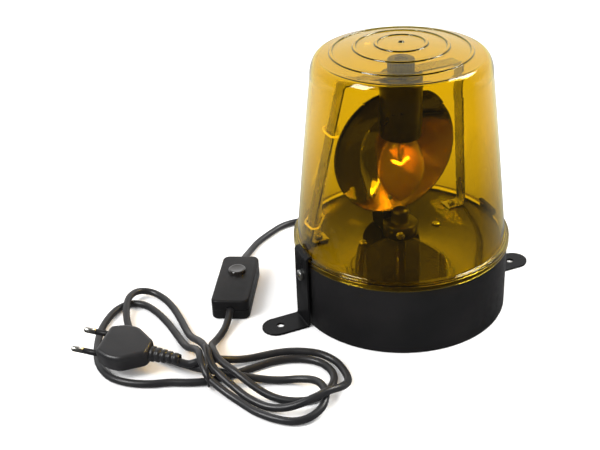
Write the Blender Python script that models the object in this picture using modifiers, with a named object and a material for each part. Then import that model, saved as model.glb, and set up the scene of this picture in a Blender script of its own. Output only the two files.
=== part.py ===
"""Mains rotating beacon: black base, amber dome, hanging lamp, spinning reflector, cord set.

Metres, +Z up. The origin is on the floor on the beacon's axis, the two fixing feet lie along X,
the cord leaves at +Y and the reflector faces -Y at rest.
"""
import math

import bmesh
import bpy
from mathutils import Matrix, Vector

MM = 0.001
GAP = 0.3 * MM                      # between pieces that touch

# ---- base ------------------------------------------------------------------------------------
BASE_RADIUS = 74.0 * MM
BASE_WALL = 2.2 * MM
DECK_TOP = 49.8 * MM
RIM_DROP = 1.5 * MM                 # from the deck to the shoulder under the dome's skirt
DECK_THICK = 2.2 * MM
SPIGOT_HEIGHT = 2.0 * MM            # ring on the deck that centres the dome
SPIGOT_WIDTH = 2.0 * MM
COVER_THICK = 2.4 * MM
BOSS_INSET = 12.0 * MM             # outside of the base to a boss's axis
BOSS_RADIUS = 4.0 * MM
COVER_SCREWS = 3

# ---- dome ------------------------------------------------------------------------------------
DOME_HEIGHT = 140.6 * MM            # deck to the middle of the crown
DOME_INSET = 2.0 * MM               # outside of the base to the dome's foot
DOME_TAPER = 12.3 * MM              # foot radius less shoulder radius
SHOULDER_DROP = 20.8 * MM           # crown to the top of the tapered wall
DOME_CORNER = 6.7 * MM              # radial size of the rounded shoulder
DOME_WALL = 2.0 * MM
CROWN_SAG = 7.3 * MM                # drop of the crown from its middle to the shoulder
FLANGE_REACH = 3.0 * MM
FLANGE_THICK = 2.0 * MM
RIB_RADII = (16.3 * MM, 30.3 * MM, 45.5 * MM)
RIB_WIDTH = 2.6 * MM
RIB_HEIGHT = 0.7 * MM

# ---- fixing brackets -------------------------------------------------------------------------
BRACKET_WIDTH = 20.0 * MM
BRACKET_THICK = 1.5 * MM
FOOT_LENGTH = 32.0 * MM             # dome's flange to the foot's round end
FOOT_HOLE_INSET = 13.0 * MM         # foot's round end to its hole
FOOT_HOLE_RADIUS = 2.5 * MM
LIP_REACH = 3.6 * MM
BRACKET_BEND = 2.0 * MM
BRACKET_SCREW_DROP = 12.3 * MM      # deck to the screw

# ---- screws: shaft radius, head radius, head height ------------------------------------------
SCREW_M4 = (2.0 * MM, 3.8 * MM, 2.4 * MM)
SCREW_M3 = (1.5 * MM, 2.8 * MM, 1.9 * MM)
SCREW_LOW = (1.5 * MM, 3.0 * MM, 0.9 * MM)
SCREW_SMALL = (1.0 * MM, 1.9 * MM, 0.7 * MM)

# ---- drive -----------------------------------------------------------------------------------
MOTOR_RADIUS = 24.5 * MM
MOTOR_HEIGHT = 13.0 * MM
GEARBOX_HEIGHT = 8.6 * MM
EAR_LENGTH = 68.0 * MM
EAR_WIDTH = 11.0 * MM
EAR_THICK = 1.5 * MM
MOTOR_SCREW_X = 29.0 * MM
SHAFT_RADIUS = 3.5 * MM
SHAFT_ABOVE_DECK = 11.5 * MM
HUB_RADIUS = 12.0 * MM
HUB_HEIGHT = 10.0 * MM
HUB_NOSE_RADIUS = 6.2 * MM
HUB_NOSE_HEIGHT = 10.6 * MM
HUB_SCREW_ANGLE = math.radians(-118.0)

# ---- reflector -------------------------------------------------------------------------------
DISH_RADIUS = 45.0 * MM
DISH_DEPTH = 30.0 * MM
DISH_WALL = 1.0 * MM
DISH_DROP = 58.5 * MM               # lamp frame's bridge to the dish's middle
DISH_RIM_Y = 7.4 * MM               # the rim's plane, behind the axis
DISH_TOP_CUT = 39.0 * MM            # flat cut above the dish's middle, under the lamp frame
ARM_WIDTH = 18.0 * MM
ARM_BACK_Y = 25.0 * MM
ARM_TOP_DROP = 35.0 * MM            # dish's middle to the arm's top
ARM_SCREW_INSET = 4.0 * MM

# ---- lamp ------------------------------------------------------------------------------------
FRAME_FOOT_INSET = 10.0 * MM        # dome's foot to the frame's foot corner
FRAME_FOOT_Y = 20.0 * MM
FRAME_FOOT_LENGTH = 14.0 * MM
FRAME_TOP_INSET = 16.7 * MM         # dome's shoulder to the frame's top corner
FRAME_DROP = 20.9 * MM              # crown to the middle of the bridge strip
FRAME_WIDTH = 11.0 * MM
FRAME_THICK = 1.2 * MM
HOLDER_RADIUS = 14.2 * MM
HOLDER_LENGTH = 43.0 * MM
HOLDER_WALL = 2.0 * MM
NIPPLE_RADIUS = 4.0 * MM
NUT_RADIUS = 9.0 * MM
NUT_HEIGHT = 8.2 * MM
THREAD_RADIUS = 7.0 * MM            # E14 lamp cap
BULB_RADIUS = 16.2 * MM
BULB_LENGTH = 55.5 * MM             # glass below the lamp cap
BULB_WALL = 0.8 * MM
CAP_LENGTH = 22.0 * MM
CAP_DROP = 38.2 * MM                # bridge strip to the bottom of the lamp cap
LAMP_LEAD_RADIUS = 3.0 * MM         # two wires in clear sleeving
LEAD_HOLE_INSET = 11.0 * MM         # frame's foot corner to the hole in the deck
LEAD_HOLE_BEHIND = 9.2 * MM         # frame's foot line to the hole
MOTOR_LEAD_RADIUS = 1.2 * MM
BLOCK_SIZE = (24.0 * MM, 16.0 * MM, 12.0 * MM)
BLOCK_Y = 48.0 * MM

# ---- cord ------------------------------------------------------------------------------------
CORD_RADIUS = 2.5 * MM
GLAND_Z = 12.0 * MM
GLAND_NECK = 4.9 * MM
GLAND_COLLAR = 7.0 * MM
GLAND_LENGTH = 24.0 * MM
TIE_RADIUS = 0.8 * MM
TIE_CENTRE = (-159.5 * MM, -33.6 * MM)
TIE_TURN = math.radians(-15.0)      # across the bundle is the place's local Y
WAIST_WIDTH = 27.0 * MM
WAIST_LENGTH = 14.0 * MM
HANK_LEFT_TOP = 5.6 * MM            # one cord high, two lying side by side
HANK_RIGHT_TOP = 10.6 * MM          # two cords high

# ---- in-line switch --------------------------------------------------------------------------
SWITCH_CENTRE = (-107.0 * MM, 52.2 * MM)
SWITCH_TURN = math.radians(-118.8)
SWITCH_LENGTH = 63.0 * MM
SWITCH_WIDTH = 27.0 * MM
SWITCH_HEIGHT = 15.0 * MM
SWITCH_SPLIT_Z = 7.5 * MM
SWITCH_WALL = 1.8 * MM
BUTTON_X = -9.0 * MM
BUTTON_RADIUS = 6.4 * MM
BUTTON_PROUD = 2.6 * MM
BUTTON_TRAVEL = 2.2 * MM
SWITCH_SCREW = (24.0 * MM, 8.6 * MM)
SWITCH_CHANNEL = 8.0 * MM           # width of the cord's way in at each end

# ---- plug ------------------------------------------------------------------------------------
PLUG_FRONT = (-214.5 * MM, 13.5 * MM, 15.8 * MM)
PLUG_HEADING = math.radians(139.0)
PLUG_PITCH = math.radians(3.0)
PLUG_ROLL = math.radians(-8.0)
PLUG_LENGTH = 34.0 * MM
PLUG_WIDTH = 33.0 * MM
PLUG_FRONT_WIDTH = 25.0 * MM
PLUG_REAR_WIDTH = 13.0 * MM
PLUG_THICK = 13.0 * MM
PIN_RADIUS = 2.0 * MM
PIN_LENGTH = 19.0 * MM
PIN_SLEEVE_LENGTH = 10.0 * MM
PIN_SPACING = 18.6 * MM
RELIEF_LENGTH = 20.0 * MM
RELIEF_RIBS = 5

for old in list(bpy.data.objects):
    bpy.data.objects.remove(old, do_unlink=True)

PARTS = bpy.data.collections.new("rotating_beacon")
CUTTERS = bpy.data.collections.new("cutters")
for group in (PARTS, CUTTERS):
    bpy.context.scene.collection.children.link(group)


# ---- helpers ---------------------------------------------------------------------------------
def material(name, colour, roughness, metallic=0.0):
    """A Principled material from an sRGB hex colour."""
    made = bpy.data.materials.new(name)
    made.use_nodes = True
    shader = made.node_tree.nodes["Principled BSDF"]
    channels = [int(colour[i:i + 2], 16) / 255.0 for i in (0, 2, 4)]
    linear = [c / 12.92 if c <= 0.04045 else ((c + 0.055) / 1.055) ** 2.4 for c in channels]
    shader.inputs["Base Color"].default_value = (*linear, 1.0)
    shader.inputs["Roughness"].default_value = roughness
    shader.inputs["Metallic"].default_value = metallic
    return made


def add(name, data, finish=None, place=None, cutter=False):
    """An object from its data, as a part with a material or as a cutter."""
    obj = bpy.data.objects.new(name, data)
    (CUTTERS if cutter else PARTS).objects.link(obj)
    if finish:
        data.materials.append(finish)
    if place:
        obj.parent = place
    if cutter:
        obj.hide_render = True
        obj.display_type = "WIRE"
    return obj


def empty(name, location, rotation=(0, 0, 0)):
    """A named place that other pieces are parented to."""
    obj = bpy.data.objects.new(name, None)
    obj.location = location
    obj.rotation_euler = rotation
    PARTS.objects.link(obj)
    return obj


def turned(name, profile, finish=None, steps=32, **how):
    """A profile of (radius, height) points, down the outer side, swept about local Z."""
    mesh = bpy.data.meshes.new(name)
    ring = profile[0][0] > 0
    count = len(profile)
    edges = [(i, i + 1) for i in range(count - 1)]
    if ring:
        edges.append((count - 1, 0))
    mesh.from_pydata([(r, 0, z) for r, z in profile], edges, [])
    obj = add(name, mesh, finish, **how)
    screw = obj.modifiers.new("turn", "SCREW")
    screw.steps = steps
    screw.render_steps = steps
    screw.use_merge_vertices = True
    screw.merge_threshold = 0.00001
    screw.use_smooth_shade = True
    return obj


def block(name, low, high, finish=None, bevel=0.0, **how):
    """A box between two corners, with rounded edges where bevel is given."""
    mesh = bpy.data.meshes.new(name)
    shape = bmesh.new()
    bmesh.ops.create_cube(shape, size=1.0)
    size = [h - l for l, h in zip(low, high)]
    centre = [(h + l) / 2 for l, h in zip(low, high)]
    bmesh.ops.scale(shape, vec=size, verts=shape.verts)
    bmesh.ops.translate(shape, vec=centre, verts=shape.verts)
    shape.to_mesh(mesh)
    shape.free()
    obj = add(name, mesh, finish, **how)
    if bevel:
        soften(obj, bevel)
    return obj


def soften(obj, width, segments=2, angle=40.0):
    """Round the sharp edges of a piece."""
    rounding = obj.modifiers.new("edges", "BEVEL")
    rounding.width = width
    rounding.segments = segments
    rounding.limit_method = "ANGLE"
    rounding.angle_limit = math.radians(angle)


def rod(name, radius, start, end, finish=None, sides=16, **how):
    """A cylinder between two points."""
    start, end = Vector(start), Vector(end)
    mesh = bpy.data.meshes.new(name)
    shape = bmesh.new()
    length = (end - start).length
    bmesh.ops.create_cone(shape, cap_ends=True, segments=sides, radius1=radius,
                          radius2=radius, depth=length)
    turn = (end - start).to_track_quat("Z", "Y").to_matrix().to_4x4()
    shape.transform(Matrix.Translation((start + end) / 2) @ turn)
    shape.to_mesh(mesh)
    shape.free()
    mesh.shade_smooth()
    mesh.set_sharp_from_angle(angle=math.radians(35))
    return add(name, mesh, finish, **how)


def smooth_route(points, spacing, closed=False):
    """Points a spacing apart along one smooth curve through the given points."""
    knots = [Vector(p) for p in points]
    count = len(knots)
    fine = []
    for i in range(count if closed else count - 1):
        if closed:
            a, b, c, d = (knots[(i + k) % count] for k in (-1, 0, 1, 2))
        else:
            b, c = knots[i], knots[i + 1]
            a = knots[i - 1] if i else b * 2 - c
            d = knots[i + 2] if i + 2 < count else c * 2 - b
        for step in range(12):
            t = step / 12
            fine.append(0.5 * (2 * b + (c - a) * t + (2 * a - 5 * b + 4 * c - d) * t ** 2
                               + (3 * b - a - 3 * c + d) * t ** 3))
    if not closed:
        fine.append(knots[-1])
    ends = fine + [fine[0]] if closed else fine
    along = [0.0]
    for p, q in zip(ends, ends[1:]):
        along.append(along[-1] + (q - p).length)
    pieces = max(2, round(along[-1] / spacing))
    route = []
    spot = 0
    for k in range(pieces if closed else pieces + 1):
        want = along[-1] * k / pieces
        while spot < len(along) - 2 and along[spot + 1] < want:
            spot += 1
        share = (want - along[spot]) / (along[spot + 1] - along[spot])
        route.append(ends[spot].lerp(ends[spot + 1], share))
    return route


def tube(name, points, radius, finish, spacing, closed=False, resolution=2, **how):
    """A round cord or wire along a smooth route."""
    curve = bpy.data.curves.new(name, "CURVE")
    curve.dimensions = "3D"
    route = smooth_route(points, spacing, closed)
    spline = curve.splines.new("POLY")
    spline.points.add(len(route) - 1)
    for point, place in zip(spline.points, route):
        point.co = (*place, 1.0)
    spline.use_cyclic_u = closed
    curve.bevel_depth = radius
    curve.bevel_resolution = resolution
    curve.use_fill_caps = not closed
    return add(name, curve, finish, **how)


def plate(name, outline, low, high, finish=None, **how):
    """A flat outline extruded from one height to another, as a mesh."""
    curve = bpy.data.curves.new(name, "CURVE")
    curve.dimensions = "2D"
    curve.fill_mode = "BOTH"
    curve.extrude = (high - low) / 2
    spline = curve.splines.new("POLY")
    spline.points.add(len(outline) - 1)
    for point, (x, y) in zip(spline.points, outline):
        point.co = (x, y, 0.0, 1.0)
    spline.use_cyclic_u = True
    sketch = bpy.data.objects.new(name + "_outline", curve)
    bpy.context.scene.collection.objects.link(sketch)
    bpy.context.view_layer.update()
    seen = sketch.evaluated_get(bpy.context.evaluated_depsgraph_get())
    mesh = bpy.data.meshes.new_from_object(seen)
    bpy.data.objects.remove(sketch, do_unlink=True)
    bpy.data.curves.remove(curve)
    shape = bmesh.new()
    shape.from_mesh(mesh)
    bmesh.ops.remove_doubles(shape, verts=shape.verts, dist=0.00001)
    bmesh.ops.translate(shape, vec=(0, 0, (low + high) / 2), verts=shape.verts)
    bmesh.ops.recalc_face_normals(shape, faces=shape.faces)
    shape.to_mesh(mesh)
    shape.free()
    mesh.materials.clear()
    return add(name, mesh, finish, **how)


def combine(obj, operation, *others):
    """Cut pieces from a part, join them to it, or keep only what they share."""
    for other in others:
        step = obj.modifiers.new(other.name, "BOOLEAN")
        step.operation = operation
        step.solver = "EXACT"
        step.object = other
    return obj


def bent_path(corners, radius, steps=4):
    """A path of (x, z) corners with each inner corner rounded."""
    path = [corners[0]]
    for before, corner, after in zip(corners, corners[1:], corners[2:]):
        here = Vector(corner)
        back = (Vector(before) - here).normalized()
        on = (Vector(after) - here).normalized()
        half = back.angle(on) / 2
        reach = radius / math.tan(half)
        centre = here + (back + on).normalized() * radius / math.sin(half)
        first = here + back * reach - centre
        last = here + on * reach - centre
        sweep = first.angle(last)
        for k in range(steps + 1):
            share = k / steps
            arm = (first * math.sin((1 - share) * sweep) + last * math.sin(share * sweep))
            path.append(tuple(centre + arm / math.sin(sweep)))
    path.append(corners[-1])
    return path


def strip(name, path, width, thick, finish, lean=0.0, lean_from=0.0, **how):
    """Sheet strip: an (x, z) path of its middle, as wide as given in Y, leaning in Y."""
    mesh = bpy.data.meshes.new(name)
    verts = []
    for x, z in path:
        shift = lean * (lean_from - z)
        verts += [(x, shift - width / 2, z), (x, shift + width / 2, z)]
    faces = [(2 * i, 2 * i + 1, 2 * i + 3, 2 * i + 2) for i in range(len(path) - 1)]
    mesh.from_pydata(verts, [], faces)
    obj = add(name, mesh, finish, **how)
    sheet = obj.modifiers.new("sheet", "SOLIDIFY")
    sheet.thickness = thick
    sheet.offset = 0.0
    sheet.use_even_offset = True
    return obj


def screw(name, kind, seat, inward, length, finish, place=None, sides=12):
    """A pan-head screw: its seat, the way its shaft points, and a cross recess."""
    shaft, head, height = kind
    way = Vector(inward)
    body = turned(name, [(0, height), (0.75 * head, height), (head, height * 0.5),
                         (head, 0), (shaft, 0), (shaft, -length), (0, -length)],
                  finish, steps=sides, place=place)
    body.location = Vector(seat) - way * GAP
    body.rotation_euler = (-way).to_track_quat("Z", "Y").to_euler()
    slot = 0.28 * shaft
    reach = 0.62 * head
    cross = [block(f"{name}_slot_{k}", (-a, -b, height * 0.5), (a, b, height * 2), cutter=True)
             for k, (a, b) in enumerate(((slot, reach), (reach, slot)))]
    for piece in cross:
        piece.parent = body
    return combine(body, "DIFFERENCE", *cross)


def arc(centre, radius, start, end, steps):
    """Points along a circular arc, angles in degrees."""
    turns = [math.radians(start + (end - start) * k / steps) for k in range(steps + 1)]
    return [(centre[0] + radius * math.cos(a), centre[1] + radius * math.sin(a)) for a in turns]


# ---- materials -------------------------------------------------------------------------------
black_plastic = material("black_plastic", "1d1d1f", 0.45)
amber_plastic = material("amber_plastic", "f0b400", 0.1)
black_steel = material("black_steel", "1b1b1e", 0.5, 0.2)
zinc_steel = material("zinc_steel", "b9b6ae", 0.3, 1.0)
chrome = material("chrome", "dcdcdc", 0.06, 1.0)
bakelite = material("bakelite", "14110f", 0.35)
brass = material("brass", "c9a24a", 0.3, 1.0)
glass = material("glass", "f2ead8", 0.05)
tungsten = material("tungsten", "5a5550", 0.4, 1.0)
clear_sleeve = material("clear_sleeve", "e8e2c8", 0.2)
white_plastic = material("white_plastic", "e6e3da", 0.4)
rubber = material("rubber", "161617", 0.55)

# ---- places ----------------------------------------------------------------------------------
reflector_axis = empty("reflector_axis", (0, 0, 0))
switch_place = empty("switch_place", (*SWITCH_CENTRE, 0), (0, 0, SWITCH_TURN))
tie_place = empty("tie_place", (*TIE_CENTRE, 0), (0, 0, TIE_TURN))
plug_place = empty("plug_place", PLUG_FRONT)
plug_turn = (Matrix.Rotation(PLUG_HEADING, 4, "Z") @ Matrix.Rotation(-PLUG_PITCH, 4, "Y")
             @ Matrix.Rotation(PLUG_ROLL, 4, "X"))
plug_place.rotation_mode = "QUATERNION"
plug_place.rotation_quaternion = plug_turn.to_quaternion()


# ---- base ------------------------------------------------------------------------------------
DECK_UNDER = DECK_TOP - DECK_THICK
BASE_RIM_Z = DECK_TOP - RIM_DROP
BOSS_CIRCLE = BASE_RADIUS - BOSS_INSET
DOME_TOP = DECK_TOP + DOME_HEIGHT
DOME_FOOT_RADIUS = BASE_RADIUS - DOME_INSET
DOME_SHOULDER_RADIUS = DOME_FOOT_RADIUS - DOME_TAPER
DOME_SHOULDER_Z = DOME_TOP - SHOULDER_DROP
FRAME_FOOT_X = DOME_FOOT_RADIUS - FRAME_FOOT_INSET
FRAME_TOP_X = DOME_SHOULDER_RADIUS - FRAME_TOP_INSET
FRAME_TOP_Z = DOME_TOP - FRAME_DROP
BRACKET_SCREW_Z = DECK_TOP - BRACKET_SCREW_DROP
DISH_CENTRE_Z = FRAME_TOP_Z - DISH_DROP
ARM_TOP_Z = DISH_CENTRE_Z - ARM_TOP_DROP
ARM_SCREW_Z = ARM_TOP_Z - ARM_SCREW_INSET
CAP_BOTTOM_Z = FRAME_TOP_Z - CAP_DROP
LAMP_LEAD_HOLE = (LEAD_HOLE_INSET - FRAME_FOOT_X, FRAME_FOOT_Y + LEAD_HOLE_BEHIND)
DOME_FOOT_INNER = DOME_FOOT_RADIUS - DOME_WALL
SPIGOT_OUTER = DOME_FOOT_INNER + SPIGOT_WIDTH + GAP
SHAFT_HOLE = SHAFT_RADIUS + 2.5 * MM
COVER_RADIUS = BASE_RADIUS - BASE_WALL - GAP
M3_HOLE = SCREW_M3[0] + GAP
FOOT_SCREW_X = FRAME_FOOT_X - 0.6 * FRAME_FOOT_LENGTH
boss_angles = [math.tau * (k + 0.5) / COVER_SCREWS for k in range(COVER_SCREWS)]
boss_spots = [(BOSS_CIRCLE * math.cos(a), BOSS_CIRCLE * math.sin(a)) for a in boss_angles]


def base_shell():
    """The base moulding: wall, deck and the ring that centres the dome."""
    inner = BASE_RADIUS - BASE_WALL
    top = DECK_TOP + SPIGOT_HEIGHT
    shell = turned("base_shell", [
        (SPIGOT_OUTER, top), (SPIGOT_OUTER, BASE_RIM_Z), (BASE_RADIUS, BASE_RIM_Z),
        (BASE_RADIUS, 0), (inner, 0), (inner, DECK_UNDER), (SHAFT_HOLE, DECK_UNDER),
        (SHAFT_HOLE, DECK_TOP), (SPIGOT_OUTER - SPIGOT_WIDTH, DECK_TOP),
        (SPIGOT_OUTER - SPIGOT_WIDTH, top)], black_plastic, steps=48)
    shell.rotation_euler = (0, 0, math.pi / 48)
    foot = COVER_THICK + GAP
    for k, (x, y) in enumerate(boss_spots):
        boss = rod(f"boss_{k}", BOSS_RADIUS, (x, y, foot), (x, y, DECK_UNDER + GAP),
                   cutter=True)
        combine(shell, "UNION", boss)
    drills = []
    for k, (x, y) in enumerate(boss_spots):
        drills.append(rod(f"boss_drill_{k}", M3_HOLE, (x, y, 0), (x, y, 20 * MM), cutter=True))
    deck = [(-MOTOR_SCREW_X, 0), (MOTOR_SCREW_X, 0), (-FOOT_SCREW_X, FRAME_FOOT_Y),
            (FOOT_SCREW_X, FRAME_FOOT_Y)]
    for k, (x, y) in enumerate(deck):
        drills.append(rod(f"deck_drill_{k}", M3_HOLE, (x, y, DECK_UNDER - GAP),
                          (x, y, DECK_TOP + GAP), cutter=True))
    x, y = LAMP_LEAD_HOLE
    drills.append(rod("lead_drill", LAMP_LEAD_RADIUS + 2 * GAP, (x, y, DECK_UNDER - GAP),
                      (x, y, DECK_TOP + GAP), cutter=True))
    drills.append(rod("bracket_drill", SCREW_M4[0] + GAP, (-BASE_RADIUS - GAP, 0, BRACKET_SCREW_Z),
                      (BASE_RADIUS + GAP, 0, BRACKET_SCREW_Z), cutter=True))
    drills.append(rod("gland_drill", GLAND_NECK + GAP, (0, inner - 2 * MM, GLAND_Z),
                      (0, BASE_RADIUS + 2 * MM, GLAND_Z), sides=20, cutter=True))
    return combine(shell, "DIFFERENCE", *drills)


def bottom_cover():
    """The disc that closes the base, with its screws sunk flush."""
    cover = turned("bottom_cover", [(0, COVER_THICK), (COVER_RADIUS, COVER_THICK),
                                    (COVER_RADIUS, 0), (0, 0)], black_plastic, steps=40)
    shaft, head, height = SCREW_LOW
    sink = height + 2 * GAP
    for k, (x, y) in enumerate(boss_spots):
        hole = rod(f"cover_drill_{k}", shaft + GAP, (x, y, -GAP), (x, y, 2 * COVER_THICK),
                   cutter=True)
        seat = rod(f"cover_sink_{k}", head + GAP, (x, y, -GAP), (x, y, sink), cutter=True)
        combine(cover, "DIFFERENCE", hole, seat)
        screw(f"bottom_screw_{k + 1}", SCREW_LOW, (x, y, sink), (0, 0, 1), 9 * MM, zinc_steel)


# ---- dome ------------------------------------------------------------------------------------
def crown_z(radius, top, reach):
    """Height of the shallow crown at a radius."""
    return top - CROWN_SAG * (radius / reach) ** 2


def dome_wall(inset):
    """Outer or inner side of the dome from its crown's edge to its foot."""
    reach = DOME_SHOULDER_RADIUS - DOME_CORNER
    top = DOME_TOP - inset
    edge_z = crown_z(reach, top, reach)
    rise = edge_z - DOME_SHOULDER_Z
    points = []
    for k in range(6):
        turn = math.pi / 2 * (1 - k / 5)
        points.append((reach + (DOME_CORNER - inset) * math.cos(turn),
                       DOME_SHOULDER_Z + rise * math.sin(turn)))
    return points


def dome():
    """The amber cover: ribbed crown, tapered wall and a flange with a short skirt."""
    reach = DOME_SHOULDER_RADIUS - DOME_CORNER
    flange_under = DECK_TOP + SPIGOT_HEIGHT + GAP
    flange_top = flange_under + FLANGE_THICK
    flange_radius = DOME_FOOT_RADIUS + FLANGE_REACH
    skirt = SPIGOT_OUTER + 2 * GAP
    outer = [(0, DOME_TOP + 1.0 * MM), (1.4 * MM, DOME_TOP + 0.8 * MM), (1.8 * MM, DOME_TOP)]
    for radius in RIB_RADII:
        for offset, lift in ((-0.5, 0), (-0.32, 1), (0.32, 1), (0.5, 0)):
            r = radius + offset * RIB_WIDTH
            outer.append((r, crown_z(r, DOME_TOP, reach) + lift * RIB_HEIGHT))
    outer += dome_wall(0.0)
    chamfer = 0.4 * FLANGE_THICK
    outer += [(DOME_FOOT_RADIUS, flange_top), (flange_radius - chamfer, flange_top),
              (flange_radius, flange_top - chamfer),
              (flange_radius, BASE_RIM_Z + GAP), (skirt, BASE_RIM_Z + GAP),
              (skirt, flange_under), (DOME_FOOT_INNER, flange_under)]
    inner = list(reversed(dome_wall(DOME_WALL)))
    r = 0.5 * reach
    inner.append((r, crown_z(r, DOME_TOP - DOME_WALL, reach)))
    inner.append((0, DOME_TOP - DOME_WALL))
    return turned("dome", outer + inner, amber_plastic, steps=40)


# ---- brackets --------------------------------------------------------------------------------
FLANGE_TOP = DECK_TOP + SPIGOT_HEIGHT + GAP + FLANGE_THICK
FLANGE_RADIUS = DOME_FOOT_RADIUS + FLANGE_REACH
STRAP_X = FLANGE_RADIUS + GAP + BRACKET_THICK / 2
FOOT_REACH = FLANGE_RADIUS + FOOT_LENGTH
FOOT_HOLE_X = FOOT_REACH - FOOT_HOLE_INSET


def bracket(side, turn):
    """A bent strip: screw-down foot, upright strap and a lip over the dome's flange."""
    half = BRACKET_THICK / 2
    place = empty(f"bracket_{side}_place", (0, 0, 0), (0, 0, turn))
    lip_z = FLANGE_TOP + GAP + half
    path = bent_path([(FOOT_REACH, half), (STRAP_X, half), (STRAP_X, lip_z),
                      (STRAP_X - LIP_REACH, lip_z)], BRACKET_BEND)
    sheet = strip(f"bracket_{side}", path, BRACKET_WIDTH, BRACKET_THICK, black_steel,
                  place=place)
    end = BRACKET_WIDTH / 2
    rounded = arc((FOOT_REACH - end, 0), end, -90, 90, 10)
    back = STRAP_X - 2 * LIP_REACH
    blank = plate(f"bracket_{side}_blank", rounded + [(back, end + GAP), (back, -end - GAP)],
                  -MM, 2 * DECK_TOP, place=place, cutter=True)
    foot_hole = rod(f"bracket_{side}_foot_drill", FOOT_HOLE_RADIUS, (FOOT_HOLE_X, 0, -MM),
                    (FOOT_HOLE_X, 0, 3 * MM), place=place, cutter=True)
    strap_hole = rod(f"bracket_{side}_strap_drill", SCREW_M4[0] + GAP,
                     (BASE_RADIUS, 0, BRACKET_SCREW_Z),
                     (STRAP_X + 2 * MM, 0, BRACKET_SCREW_Z), place=place, cutter=True)
    combine(sheet, "INTERSECT", blank)
    combine(sheet, "DIFFERENCE", foot_hole, strap_hole)
    seat = (STRAP_X + half, 0, BRACKET_SCREW_Z)
    screw(f"bracket_screw_{side}", SCREW_M4, seat, (-1, 0, 0), 13 * MM, zinc_steel, place)
    outer = BASE_RADIUS - BASE_WALL - 2 * GAP
    nut = rod(f"bracket_nut_{side}", 4.0 * MM, (outer - 3.2 * MM, 0, BRACKET_SCREW_Z),
              (outer, 0, BRACKET_SCREW_Z), zinc_steel, sides=6, place=place)
    bore = rod(f"bracket_nut_{side}_bore", SCREW_M4[0] + GAP,
               (outer - 6 * MM, 0, BRACKET_SCREW_Z), (outer + MM, 0, BRACKET_SCREW_Z),
               place=place, cutter=True)
    combine(nut, "DIFFERENCE", bore)


# ---- drive -----------------------------------------------------------------------------------
def drive():
    """Geared motor under the deck, with its shaft up through the deck on the axis."""
    top = DECK_UNDER - GAP
    split = top - GEARBOX_HEIGHT
    gearbox = rod("gearbox", MOTOR_RADIUS, (0, 0, split), (0, 0, top), zinc_steel, sides=32)
    ears = block("gearbox_ears", (-EAR_LENGTH / 2, -EAR_WIDTH / 2, top - EAR_THICK),
                 (EAR_LENGTH / 2, EAR_WIDTH / 2, top), cutter=True)
    combine(gearbox, "UNION", ears)
    bore = rod("gearbox_bore", SHAFT_RADIUS + GAP, (0, 0, split + 2 * MM), (0, 0, top + MM),
               cutter=True)
    combine(gearbox, "DIFFERENCE", bore)
    for k, x in enumerate((-MOTOR_SCREW_X, MOTOR_SCREW_X)):
        hole = rod(f"ear_drill_{k}", M3_HOLE, (x, 0, top - 5 * MM), (x, 0, top + MM),
                   cutter=True)
        combine(gearbox, "DIFFERENCE", hole)
        screw(f"motor_screw_{k + 1}", SCREW_M3, (x, 0, DECK_TOP), (0, 0, -1), 7 * MM,
              zinc_steel)
    rod("motor_can", MOTOR_RADIUS, (0, 0, split - GAP - MOTOR_HEIGHT), (0, 0, split - GAP),
        zinc_steel, sides=32)
    rod("drive_shaft", SHAFT_RADIUS, (0, 0, split + 3 * MM), (0, 0, DECK_TOP + SHAFT_ABOVE_DECK),
        zinc_steel, place=reflector_axis)


# ---- reflector -------------------------------------------------------------------------------
HUB_FOOT = DECK_TOP + 2 * GAP
HUB_SHOULDER = HUB_FOOT + HUB_HEIGHT


def hub():
    """The hub pushed on the shaft, with a rounded nose and a set screw in its side."""
    nose_top = HUB_SHOULDER + HUB_NOSE_HEIGHT
    round_from = nose_top - 0.6 * HUB_NOSE_RADIUS
    nose = []
    for k in range(5):
        turn = math.pi / 2 * (1 - k / 4)
        nose.append((HUB_NOSE_RADIUS * math.cos(turn),
                     round_from + (nose_top - round_from) * math.sin(turn)))
    nose[0] = (0, nose_top)
    bore = SHAFT_RADIUS + GAP
    ceiling = DECK_TOP + SHAFT_ABOVE_DECK + GAP
    piece = turned("reflector_hub", nose + [
        (HUB_NOSE_RADIUS, HUB_SHOULDER), (HUB_RADIUS, HUB_SHOULDER), (HUB_RADIUS, HUB_FOOT),
        (bore, HUB_FOOT), (bore, ceiling), (0, ceiling)], bakelite, steps=24,
        place=reflector_axis)
    way = Vector((math.cos(HUB_SCREW_ANGLE), math.sin(HUB_SCREW_ANGLE), 0))
    level = Vector((0, 0, HUB_FOOT + HUB_HEIGHT / 2))
    hole = rod("hub_drill", SCREW_M3[0] + GAP, level, level + way * 2 * HUB_RADIUS,
               place=reflector_axis, cutter=True)
    combine(piece, "DIFFERENCE", hole)
    screw("hub_set_screw", SCREW_M3, level + way * HUB_RADIUS, -way,
          HUB_RADIUS - SHAFT_RADIUS - 3 * GAP, zinc_steel, reflector_axis)


def bowl(radius, depth, steps):
    """Side of a parabolic bowl from its middle to its rim, standing on the rim."""
    return [(radius * k / steps, depth * (1 - (k / steps) ** 2)) for k in range(steps + 1)]


def on_rim_plane(obj):
    """Stand a bowl's rim upright behind the axis, with its hollow towards -Y."""
    obj.location = (0, DISH_RIM_Y, DISH_CENTRE_Z)
    obj.rotation_euler = (-math.pi / 2, 0, 0)
    return obj


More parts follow.
